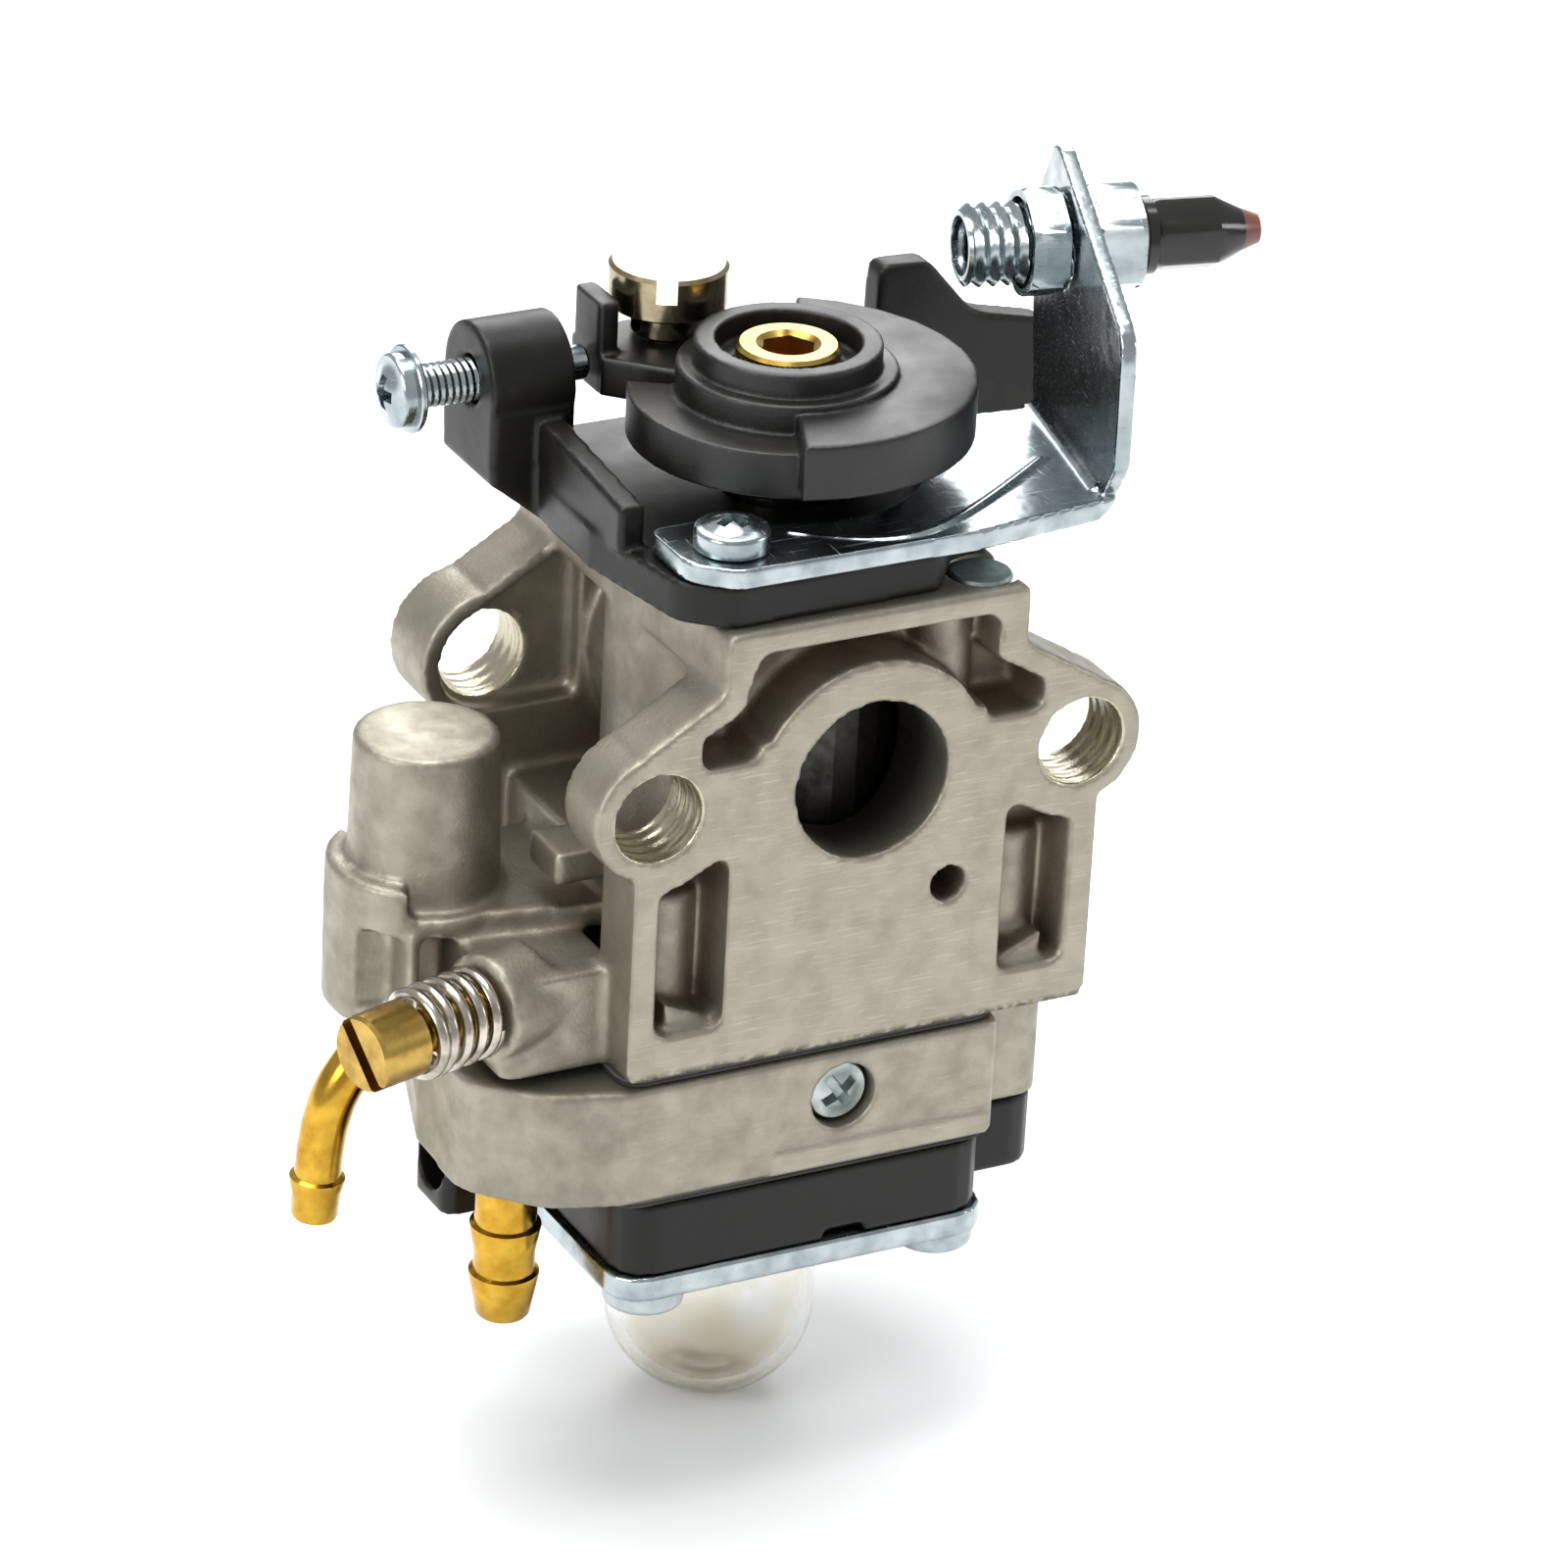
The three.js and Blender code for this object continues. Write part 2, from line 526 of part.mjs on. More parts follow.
function leverSpring() {
  return rod([stackX + 1, leverPivot.y], 1.3, -25.4, -22.8, 'z', 12);
}

function inletNeedle() {
  return turned([[0, -25.8], [1.3, -25.8], [1.3, -22.4], [0, -21]], 12)
    .translate(needleX, leverPivot.y, 0);
}

function purgeBody() {
  const block = slab([[-16.4, 0.4, 2.4], [10.8, 0.4, 2.4], [10.8, 4.6], [17, 4.6, 2.2],
    [17, 22, 2.2], [10.8, 24], [10.8, 29.8, 2.4], [-16.4, 29.8, 2.4]], purgeBottom, purgeTop);
  const lug = joined(
    slab([[-23.4, 13.4, 1], [-17.2, 13.4], [-17.2, 18.6], [-23.4, 18.6, 1]], -34.6, purgeTop),
    box(-17.4, -15, 13.4, 18.6, purgeBottom, purgeTop));
  const holes = screwXs.flatMap((x) => screwYs.map((y) => (
    rod([x, y], 1.65, purgeBottom - 1, purgeTop + 1, 'z', 8))));
  return cut(joined(block, lug),
    rod([stackX, throttleY], 10.4, purgeTop - 1.6, purgeTop + 1, 'z', 20),
    rod([bulbX, throttleY], 8.95, purgeBottom - 1, -32.6, 'z', 20),
    rod([bulbX, throttleY], 1.3, -33, -30, 'z', 10),
    rod([16, -31.6], 1.9, -25, -17.6, 'x', 12),
    box(-1.5, 1.5, -1, 1.2, purgeBottom - 1, purgeBottom + 0.7),
    ...holes);
}

// The mushroom-shaped valve that hangs in the primer bulb.
function duckbillValve() {
  return turned([[0, -41], [1.3, -40.6], [1.6, -37.4], [4.2, -35.2], [4.4, -34], [1.1, -33.2],
    [1.1, -30.8], [0, -30.8]], 14).translate(bulbX, throttleY, 0);
}

function bulbPlate() {
  const holes = screwXs.flatMap((x) => screwYs.map((y) => (
    rod([x, y], 1.65, plateBottom - 1, plateTop + 1, 'z', 8))));
  return cut(
    slab([[-16.8, 0.2, 2.4], [11.2, 0.2, 2.4], [11.2, 30, 2.4], [-16.8, 30, 2.4]],
      plateBottom, plateTop),
    rod([bulbX, throttleY], 7.5, plateBottom - 1, plateTop + 1, 'z', 20),
    ...holes);
}

// A hollow dome with a flange that the plate clamps against the purge body.
function primerBulb() {
  const wall = 0.9;
  const domeStart = bulbBottom + 6.6;
  const arc = (radius, steps) => Array.from({ length: steps + 1 }, (_, step) => {
    const angle = (Math.PI / 2) * (step / steps);
    return [radius * Math.cos(angle), domeStart - (radius - bulbRadius + 6.6) * Math.sin(angle)];
  });
  const outer = arc(bulbRadius, 5);
  const inner = arc(bulbRadius - wall, 4).reverse();
  outer[outer.length - 1][0] = 0;
  inner[0][0] = 0;
  return turned([...inner, [bulbRadius - wall, -32.9], [8.7, -32.9], [8.7, -34.1],
    [bulbRadius, -34.1], ...outer].reverse(), 20).translate(bulbX, throttleY, 0);
}

function coverScrew(x, y) {
  return turnedTo(panScrew(2.75, 2, 1.45, 18.6), new THREE.Vector3(0, 0, -1))
    .translate(x, y, plateBottom - 0.05);
}

place('carb_body', carbBody(), 'dieCast');
place('body_plug', bodyPlug(), 'steel');
place('main_nozzle', mainNozzle(), 'brass');

const throttleGroup = new THREE.Group();
throttleGroup.position.set(0, throttleY, 0);
group.add(throttleGroup);
place('throttle_barrel', throttleBarrel(), 'steel', throttleGroup);
place('thrust_ring', thrustRing(), 'steel', throttleGroup);
place('return_spring', returnSpring(), 'steel', throttleGroup);
place('throttle_lever', throttleLever(), 'blackPlastic', throttleGroup);
place('needle_adjuster', needleAdjuster(), 'brass', throttleGroup);
place('jet_needle', jetNeedle(), 'steel', throttleGroup);
place('cable_swivel', cableSwivel(), 'nickel', throttleGroup);

place('throttle_cover', throttleCover(), 'blackPlastic');
place('idle_screw', idleScrew(), 'zinc');
place('cable_bracket', cableBracket(), 'zinc');
place('bracket_screw_front', panScrew(2.5, 2.1, 1.2, 5.6)
  .translate(frontScrew.x, frontScrew.y, bracketTop + 0.05), 'zinc');
place('bracket_screw_rear', panScrew(2.5, 2.1, 1.2, 8)
  .translate(rearScrew.x, rearScrew.y, bracketTop + 0.05), 'zinc');

const adjusterGroup = new THREE.Group();
adjusterGroup.position.copy(tabPoint);
adjusterGroup.quaternion.setFromUnitVectors(
  new THREE.Vector3(0, 0, 1), new THREE.Vector3(Math.cos(tabTurn), Math.sin(tabTurn), 0));
group.add(adjusterGroup);
place('cable_adjuster', cableAdjuster(), 'zinc', adjusterGroup);
place('adjuster_nut_inner', hexNut(-3.6, -1.05), 'zinc', adjusterGroup);
place('adjuster_nut_outer', hexNut(0.65, 4.2), 'zinc', adjusterGroup);
place('cable_boot', cableBoot(), 'blackRubber', adjusterGroup);

const mixtureGroup = new THREE.Group();
mixtureGroup.position.copy(mixtureFace);
mixtureGroup.quaternion.setFromUnitVectors(
  new THREE.Vector3(0, 0, 1),
  new THREE.Vector3(-Math.cos(mixtureTurn), -Math.sin(mixtureTurn), 0));
group.add(mixtureGroup);
place('mixture_screw', mixtureScrew(), 'brass', mixtureGroup);
place('mixture_spring', mixtureSpring(), 'steel', mixtureGroup);

place('pump_gasket', sheet(-19.5, -19.25, 9), 'gasket');
place('pump_diaphragm', sheet(-19.75, -19.55), 'darkRubber');
place('pump_body', pumpBody(), 'dieCast');
place('pump_plug_screw', pumpPlugScrew(), 'zinc');
place('inlet_screen', inletScreen(), 'steel');
place('metering_lever', meteringLever(), 'steel');
place('lever_pin', leverPin(), 'steel');
place('lever_spring', leverSpring(), 'steel');
place('inlet_needle', inletNeedle(), 'steel');
place('inlet_nipple', inletNipple(), 'brass');
place('return_nipple', straightNipple(), 'brass');
place('metering_gasket', sheet(-28.6, -28.35, 10.4), 'gasket');
place('metering_diaphragm', sheet(-28.85, -28.65), 'darkRubber');
place('purge_body', purgeBody(), 'blackPlastic');
place('duckbill_valve', duckbillValve(), 'darkRubber');
place('primer_bulb', primerBulb(), 'milky');
place('bulb_plate', bulbPlate(), 'zinc');
screwXs.forEach((x, column) => {
  screwYs.forEach((y, row) => {
    place(`cover_screw_${column * 2 + row + 1}`, coverScrew(x, y), 'zinc');
  });
});

export default group;
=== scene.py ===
import json
import math

import bmesh
import bpy
import numpy as np
from mathutils import Matrix, Vector


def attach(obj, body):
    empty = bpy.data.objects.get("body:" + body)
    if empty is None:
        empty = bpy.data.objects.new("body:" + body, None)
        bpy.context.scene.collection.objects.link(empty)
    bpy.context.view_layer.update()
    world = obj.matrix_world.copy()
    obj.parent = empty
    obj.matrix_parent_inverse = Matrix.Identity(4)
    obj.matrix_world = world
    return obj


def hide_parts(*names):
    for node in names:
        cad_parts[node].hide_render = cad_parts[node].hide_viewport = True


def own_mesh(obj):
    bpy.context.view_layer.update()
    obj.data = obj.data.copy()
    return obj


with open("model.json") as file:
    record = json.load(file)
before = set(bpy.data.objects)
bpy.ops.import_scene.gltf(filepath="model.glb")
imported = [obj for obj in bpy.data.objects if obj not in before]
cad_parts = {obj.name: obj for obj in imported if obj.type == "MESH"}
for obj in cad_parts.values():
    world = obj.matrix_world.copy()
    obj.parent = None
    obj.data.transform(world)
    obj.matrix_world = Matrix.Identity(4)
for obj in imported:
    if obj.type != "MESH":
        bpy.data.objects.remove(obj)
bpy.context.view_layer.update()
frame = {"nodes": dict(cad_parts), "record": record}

mm = 0.001               # shapes are drawn in millimetres and brought to metres once finished
bodyOf = {node: body for body, nodes in frame["record"]["behaviour"]["bodies"].items()
          for node in nodes}


# Places on the carburetor, in millimetres, the same as the frame's.
boltHalfSpacing = 15.5
throttleY = 14.7
bulbBottom = -52.4
throttleAxis = Vector((0, throttleY, 0))
swivelAxis = Vector((-3.5, 25.3, 0))
bulbAxis = Vector((-2.4, 14.7, 0))
tabFrame = Matrix.Translation((20.4, 14.1, 0)) @ Matrix.Rotation(math.radians(-12), 4, "Z")
adjusterFrame = tabFrame @ Matrix.Translation((0, 0, 29.5)) @ Matrix.Rotation(math.pi / 2, 4, "Y")
mixtureDirection = Vector((-math.cos(math.radians(16)), -math.sin(math.radians(16)), 0))
mixtureFrame = (Matrix.Translation((-25, 5.7, -14.6))
                @ mixtureDirection.to_track_quat("Z", "Y").to_matrix().to_4x4())


def linear(hexColour):
    channels = [int(hexColour[start:start + 2], 16) / 255 for start in (1, 3, 5)]
    return [c / 12.92 if c <= 0.04045 else ((c + 0.055) / 1.055) ** 2.4 for c in channels] + [1]


def addNode(tree, kind, settings=None, links=None):
    node = tree.nodes.new(kind)
    for key, value in (settings or {}).items():
        if isinstance(key, str) and hasattr(node, key):
            setattr(node, key, value)
        else:
            node.inputs[key].default_value = value
    for key, source in (links or {}).items():
        tree.links.new(source, node.inputs[key])
    return node


def keepMesh(name, bm):
    bmesh.ops.remove_doubles(bm, verts=bm.verts, dist=1e-5)
    bmesh.ops.recalc_face_normals(bm, faces=bm.faces)
    mesh = bpy.data.meshes.new(name)
    bm.to_mesh(mesh)
    bm.free()
    piece = bpy.data.objects.new(name, mesh)
    bpy.context.collection.objects.link(piece)
    return piece


# Rows are (radius, height along the axis); a radius may be a function of the angle, and 0 is a
# pole. The axis is Z, or a path that gives the frame at a height.
def turnPiece(name, rows, sides=64, closed=False, path=None):
    bm = bmesh.new()
    rings = []
    for radius, along in rows:
        ring = []
        for side in range(1 if radius == 0 else sides):
            angle = 2 * math.pi * side / sides
            reach = radius(angle) if callable(radius) else radius
            flat = Vector((reach * math.cos(angle), reach * math.sin(angle), 0))
            spot = path(along) @ flat if path else flat + Vector((0, 0, along))
            ring.append(bm.verts.new(spot))
        rings.append(ring)
    for lower, upper in zip(rings, rings[1:] + (rings[:1] if closed else [])):
        for side in range(sides):
            after = (side + 1) % sides
            corners = [lower[side % len(lower)], lower[after % len(lower)],
                       upper[after % len(upper)], upper[side % len(upper)]]
            corners = list(dict.fromkeys(corners))
            if len(corners) > 2:
                bm.faces.new(corners)
    return keepMesh(name, bm)


def threadRows(outer, depth, pitch, low, high, perTurn=6):
    def radiusAt(height):
        return lambda angle: outer - depth * abs(2 * ((height / pitch - angle / (2 * math.pi)) % 1) - 1)
    steps = round((high - low) / pitch * perTurn)
    return [(radiusAt(low + (high - low) * step / steps), low + (high - low) * step / steps)
            for step in range(steps + 1)]


def hexagon(flatToFlat, corner=99):
    half = flatToFlat / 2
    return lambda angle: min(half / math.cos((angle % (math.pi / 3)) - math.pi / 6), corner)


def arcRows(centreRadius, centreHeight, radius, fromDegrees, toDegrees, steps=6):
    rows = []
    for step in range(steps + 1):
        angle = math.radians(fromDegrees + (toDegrees - fromDegrees) * step / steps)
        rows.append((max(centreRadius + radius * math.cos(angle), 0),
                     centreHeight + radius * math.sin(angle)))
    return rows


# Corners are (u, v) or (u, v, radius), as in the part's own outlines.
def roundOutline(corners, steps=8):
    points = []
    for index, (u, v, *radius) in enumerate(corners):
        corner = Vector((u, v))
        if not radius:
            points.append(corner)
            continue
        toBefore = (Vector(corners[index - 1][:2]) - corner).normalized()
        toAfter = (Vector(corners[(index + 1) % len(corners)][:2]) - corner).normalized()
        half = toBefore.angle(toAfter) / 2
        centre = corner + (toBefore + toAfter).normalized() * radius[0] / math.sin(half)
        reach = radius[0] / math.tan(half)
        start = corner + toBefore * reach - centre
        sweep = start.angle_signed(corner + toAfter * reach - centre)
        for step in range(steps + 1):
            points.append(centre + Matrix.Rotation(-sweep * step / steps, 2) @ start)
    return points


# A prism of an outline: (u, v) is (X, Y) along z, (X, Z) along y and (Y, Z) along x.
def prism(outline, low, high, axis="z", place=None):
    order = {"z": lambda u, v, w: (u, v, w), "y": lambda u, v, w: (u, w, v),
             "x": lambda u, v, w: (w, u, v)}[axis]
    bm = bmesh.new()
    ends = [[bm.verts.new((place or Matrix()) @ Vector(order(u, v, w))) for u, v in outline]
            for w in (low, high)]
    for end in ends:
        bm.faces.new(end)
    for index in range(len(outline)):
        after = (index + 1) % len(outline)
        bm.faces.new([ends[0][index], ends[0][after], ends[1][after], ends[1][index]])
    return keepMesh("tool", bm)


def circle(u, v, radius, sides=48):
    return [Vector((u + radius * math.cos(2 * math.pi * side / sides),
                    v + radius * math.sin(2 * math.pi * side / sides))) for side in range(sides)]


def applyModifiers(piece):
    shaped = piece.evaluated_get(bpy.context.evaluated_depsgraph_get())
    mesh = bpy.data.meshes.new_from_object(shaped)
    piece.modifiers.clear()
    piece.data = mesh
    return piece


def cutAway(piece, *tools):
    for tool in tools:
        cutter = piece.modifiers.new("cut", "BOOLEAN")
        cutter.operation = "DIFFERENCE"
        cutter.solver = "EXACT"
        cutter.object = tool
        applyModifiers(piece)
        bpy.data.objects.remove(tool)
    return piece


def joinOn(piece, *others):
    bm = bmesh.new()
    bm.from_mesh(piece.data)
    for other in others:
        bm.from_mesh(other.data)
        bpy.data.objects.remove(other)
    bm.to_mesh(piece.data)
    bm.free()
    return piece


def move(piece, matrix):
    piece.data.transform(matrix)
    if matrix.to_3x3().determinant() < 0:
        piece.data.flip_normals()
    return piece


# A finished piece: metres, shaded, with its finish, riding where the nodes that it stands for ride.
def finish(piece, name, material, nodes, body=None, creaseDegrees=30):
    piece.name = name
    piece.data.transform(Matrix.Scale(mm, 4))
    piece.data.materials.clear()
    piece.data.materials.append(material)
    piece.data.shade_smooth()
    if creaseDegrees:
        piece.data.set_sharp_from_angle(angle=math.radians(creaseDegrees))
    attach(piece, body or bodyOf[nodes[0]])
    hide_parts(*nodes)
    return piece


# Points within a hair of a round face are put exactly on it.
def roundFaces(piece, faces, reach=0.16):
    mesh = piece.data
    spots = np.empty(len(mesh.vertices) * 3)
    mesh.vertices.foreach_get("co", spots)
    spots = spots.reshape(-1, 3)
    for start, direction, radius, length, *endRadius in faces:
        direction = np.array(direction, float)
        direction /= np.linalg.norm(direction)
        offset = spots - np.array(start, float)
        along = offset @ direction
        outward = offset - np.outer(along, direction)
        distance = np.linalg.norm(outward, axis=1)
        wanted = radius + ((endRadius[0] - radius) * along / length if endRadius else 0 * along)
        near = (along > 0) & (along < length) & (abs(distance - wanted) < reach)
        spots[near] += outward[near] * (wanted[near] / distance[near] - 1)[:, None]
    mesh.vertices.foreach_set("co", spots.ravel())
    mesh.update()


# A cast or moulded piece: the node's own solid with details added and cut, its edges rounded.
def mould(node, settings, adds=(), cuts=(), roundTo=()):
    bm = bmesh.new()
    bm.from_mesh(frame["nodes"][node].data)
    bmesh.ops.scale(bm, vec=(1000, 1000, 1000), verts=bm.verts)
    bmesh.ops.remove_doubles(bm, verts=bm.verts, dist=1e-4)
    mesh = bpy.data.meshes.new(node)
    bm.to_mesh(mesh)
    bm.free()
    piece = bpy.data.objects.new(node + "_shape", mesh)
    bpy.context.collection.objects.link(piece)
    cutAway(piece, *cuts)
    joinOn(piece, *adds)
    remesh = piece.modifiers.new("skin", "REMESH")
    remesh.mode = "VOXEL"
    remesh.voxel_size = settings["voxel"]
    applyModifiers(piece)
    roundFaces(piece, roundTo)
    soften = piece.modifiers.new("edges", "SMOOTH")
    soften.factor = 0.5
    soften.iterations = settings["softening"]
    thin = piece.modifiers.new("thin", "DECIMATE")
    thin.ratio = min(1, settings["triangles"] / (2 * len(piece.data.polygons)))
    return applyModifiers(piece)


def startMaterial(name):
    material = bpy.data.materials.new(name)
    material.use_nodes = True
    tree = material.node_tree
    tree.nodes.clear()
    shader = addNode(tree, "ShaderNodeBsdfPrincipled")
    addNode(tree, "ShaderNodeOutputMaterial", links={"Surface": shader.outputs[0]})
    place = addNode(tree, "ShaderNodeVectorMath", {"operation": "SCALE", "Scale": 1000},
                    {0: addNode(tree, "ShaderNodeTexCoord").outputs["Object"]})
    return material, tree, shader, place.outputs[0]


def grain(tree, place, size, detail=3, roughness=0.55):    # size in millimetres
    return addNode(tree, "ShaderNodeTexNoise",
                   {"Scale": 1 / size, "Detail": detail, "Roughness": roughness},
                   {"Vector": place}).outputs["Fac"]


def sums(tree, operation, first, second=None):
    node = addNode(tree, "ShaderNodeMath", {"operation": operation})
    for index, value in enumerate((first, second)):
        if isinstance(value, (float, int)):
            node.inputs[index].default_value = value
        elif value is not None:
            tree.links.new(value, node.inputs[index])
    return node.outputs[0]


def spread(tree, value, low, high, toLow, toHigh):
    return addNode(tree, "ShaderNodeMapRange",
                   {"From Min": low, "From Max": high, "To Min": toLow, "To Max": toHigh},
                   {"Value": value}).outputs[0]


def blend(tree, share, first, second, kind="MIX"):
    node = addNode(tree, "ShaderNodeMix", {"data_type": "RGBA", "blend_type": kind})
    for index, value in ((0, share), (6, first), (7, second)):
        if isinstance(value, (float, int, list)):
            node.inputs[index].default_value = value
        else:
            tree.links.new(value, node.inputs[index])
    return node.outputs[2]


def stretched(tree, place, scale, turn=(0, 0, 0)):
    return addNode(tree, "ShaderNodeMapping", {"Scale": scale, "Rotation": turn},
                   {"Vector": place}).outputs[0]


def bumped(tree, shader, layers):    # layers are (height, depth in millimetres)
    normal = None
    for height, depth in layers:
        bump = addNode(tree, "ShaderNodeBump", {"Strength": 1, "Distance": depth * mm},
                       {"Height": height})
        if normal:
            tree.links.new(normal, bump.inputs["Normal"])
        normal = bump.outputs[0]
    tree.links.new(normal, shader.inputs["Normal"])


# The brown recess colour and its reach in millimetres are painted shade, laid where ambient occlusion
# finds a recess.
castSettings = {
    "skin": "#9e998b", "shade": "#8a8577", "hollow": "#8a7b68", "machined": "#a29b8d",
    "rubbed": "#bcb7a9", "drilled": "#bdb69f", "flash": "#463c31",
    "peel": 0.26, "mottle": 2.4, "hollowReach": 5, "faceDepth": 0.25, "feed": 1.1,
}


def dieCastAlloy():
    # Aluminium alloy, pressure die cast and tumbled: satin warm grey with a fine peel, painted
    # shade that darkens the hollows to brown and the bore wall near black, bright rubbed edges, flange
    # faces milled smoother with the print of a gasket round the bore, and drilled bolt holes with
    # the drill's bright helical lines.
    material, tree, shader, place = startMaterial("dieCastAlloy")
    peel = grain(tree, place, castSettings["peel"], 4, 0.6)
    mottle = grain(tree, place, castSettings["mottle"], 5)
    spots = grain(tree, place, 0.8, 4)
    surface = addNode(tree, "ShaderNodeNewGeometry")
    edge = spread(tree, surface.outputs["Pointiness"], 0.53, 0.62, 0, 0.8)
    # Painted shade: ambient occlusion within the reach darkens the colour towards brown in recesses.
    hollow = addNode(tree, "ShaderNodeAmbientOcclusion",
                     {"samples": 6, "only_local": True, "Distance": castSettings["hollowReach"] * mm})
    paintedRecessShade = spread(tree, hollow.outputs["AO"], 0.6, 0.15, 0, 0.6)
    spot = addNode(tree, "ShaderNodeSeparateXYZ", links={0: place})
    height = spot.outputs[1]
    sideways = sums(tree, "ABSOLUTE", spot.outputs[0])
    holeDistance = sums(tree, "SQRT", sums(tree, "ADD",
                        sums(tree, "POWER", sums(tree, "SUBTRACT", sideways, boltHalfSpacing), 2.0),
                        sums(tree, "POWER", spot.outputs[2], 2.0)))
    drilled = spread(tree, holeDistance, 3.3, 3.2, 0, 1)
    boreDistance = sums(tree, "SQRT", sums(tree, "ADD", sums(tree, "POWER", sideways, 2.0),
                                           sums(tree, "POWER", spot.outputs[2], 2.0)))
    # Painted shade: the bore wall from 0.6 to 4 mm inside its mouth is darkened near black, standing in
    # for the shade in the throat.
    paintedBoreShade = sums(tree, "MULTIPLY", spread(tree, boreDistance, 5.72, 5.62, 0, 0.75),
                    spread(tree, height, 0.6, 4, 0, 1))
    feedLines = sums(tree, "SINE", sums(tree, "MULTIPLY", height,
                                        2 * math.pi / castSettings["feed"]))
    facing = addNode(tree, "ShaderNodeSeparateXYZ", links={0: surface.outputs["Normal"]}).outputs[1]
    front = addNode(tree, "ShaderNodeMath", {"operation": "MULTIPLY"},
                    {0: spread(tree, height, castSettings["faceDepth"], 0.1, 0, 1),
                     1: spread(tree, facing, -0.9, -0.99, 0, 1)}).outputs[0]
    milled = grain(tree, stretched(tree, place, (0.12, 1, 2.2), (0, 0.35, 0)), 0.35, 3)
    colour = blend(tree, spread(tree, mottle, 0.35, 0.68, 0, 1),
                   linear(castSettings["skin"]), linear(castSettings["shade"]))
    colour = blend(tree, spread(tree, spots, 0.62, 0.7, 0, 0.35), colour, linear("#8d8174"))
    colour = blend(tree, sums(tree, "MULTIPLY", front, 0.6), colour,
                   linear(castSettings["machined"]))
    streaks = spread(tree, milled, 0.56, 0.7, 0, 0.5)
    colour = blend(tree, sums(tree, "MULTIPLY", front, streaks), colour,
                   linear(castSettings["rubbed"]))
    ringMark = sums(tree, "MULTIPLY", front, spread(tree, sums(
        tree, "ABSOLUTE", sums(tree, "SUBTRACT", boreDistance, 10.6)), 0.5, 0.2, 0, 0.22))
    ringMark = sums(tree, "MULTIPLY", ringMark, spread(tree, mottle, 0.42, 0.58, 0, 1))
    colour = blend(tree, ringMark, colour, linear(castSettings["shade"]))
    flash = sums(tree, "MULTIPLY", spread(tree, spot.outputs[2], -18.5, -18.9, 0, 0.8),
                 sums(tree, "MULTIPLY", spread(tree, spot.outputs[2], -19.5, -19.3, 0, 1),
                      spread(tree, spots, 0.4, 0.55, 0, 1)))
    colour = blend(tree, sums(tree, "MULTIPLY", flash, spread(tree, height, 0.6, 0.4, 0, 1)),
                   colour, linear(castSettings["flash"]))
    colour = blend(tree, edge, colour, linear(castSettings["rubbed"]))
    # Painted shade in the recesses.
    colour = blend(tree, paintedRecessShade, colour, linear(castSettings["hollow"]))
    # Painted shade on the bore wall.
    colour = blend(tree, paintedBoreShade, colour, linear("#2b2722"))
    colour = blend(tree, drilled, colour, linear(castSettings["drilled"]))
    tree.links.new(colour, shader.inputs["Base Color"])
    shader.inputs["Metallic"].default_value = 0.9
    rough = addNode(tree, "ShaderNodeMath", {"operation": "ADD"},
                    {0: spread(tree, mottle, 0.3, 0.7, 0.4, 0.56),
                     1: spread(tree, front, 0, 1, 0, -0.06)}).outputs[0]
    rough = sums(tree, "SUBTRACT", rough, spread(tree, drilled, 0, 1, 0, 0.24))
    tree.links.new(rough, shader.inputs["Roughness"])
    bumped(tree, shader, [(peel, 0.035), (mottle, 0.03), (milled, 0.008),
                          (sums(tree, "MULTIPLY", feedLines, drilled), 0.05)])
    return material


zincSettings = {"plate": "#b6bfc1", "shadow": "#6c7b81", "flow": 2.5, "scratch": 0.25}


def brightZinc():
    # Sheet or turned steel, zinc plated and blue passivated: a near mirror, faintly blue, with
    # soft ripples and fine random scratches.
    material, tree, shader, place = startMaterial("brightZinc")
    flow = grain(tree, place, zincSettings["flow"], 2)
    scratches = grain(tree, stretched(tree, place, (0.06, 1.4, 1.4), (0, 0, 0.7)),
                      zincSettings["scratch"], 2)
    crossed = grain(tree, stretched(tree, place, (1.4, 0.08, 1.4), (0, 0, 0.4)), 0.3, 2)
    fine = spread(tree, scratches, 0.66, 0.72, 0, 1)
    fineCrossed = spread(tree, crossed, 0.66, 0.72, 0, 1)
    marks = addNode(tree, "ShaderNodeMath", {"operation": "MAXIMUM"},
                    {0: fine, 1: fineCrossed}).outputs[0]
    colour = blend(tree, spread(tree, flow, 0.35, 0.65, 0, 0.6),
                   linear(zincSettings["plate"]), linear(zincSettings["shadow"]))
    tree.links.new(colour, shader.inputs["Base Color"])
    shader.inputs["Metallic"].default_value = 1
    rough = addNode(tree, "ShaderNodeMath", {"operation": "ADD"},
                    {0: spread(tree, flow, 0.3, 0.7, 0.16, 0.26),
                     1: spread(tree, marks, 0, 1, 0, 0.25)}).outputs[0]
    tree.links.new(rough, shader.inputs["Roughness"])
    bumped(tree, shader, [(flow, 0.05), (marks, 0.003)])
    return material


def metalFinish(name, main, second, roughness, grainSize=0.4, lines=None):
    material, tree, shader, place = startMaterial(name)
    cloud = grain(tree, place, 1.6, 4)
    fine = grain(tree, stretched(tree, place, lines) if lines else place, grainSize, 3)
    colour = blend(tree, spread(tree, cloud, 0.35, 0.68, 0, 1), linear(main), linear(second))
    tree.links.new(colour, shader.inputs["Base Color"])
    shader.inputs["Metallic"].default_value = 1
    tree.links.new(spread(tree, cloud, 0.3, 0.7, roughness * 0.75, roughness * 1.35),
                   shader.inputs["Roughness"])
    bumped(tree, shader, [(fine, 0.006)])
    return material


def turnedBrass():
    # Free-cutting brass, turned and barrel polished: warm yellow.
    return metalFinish("turnedBrass", "#cba23c", "#ab8029", 0.2)


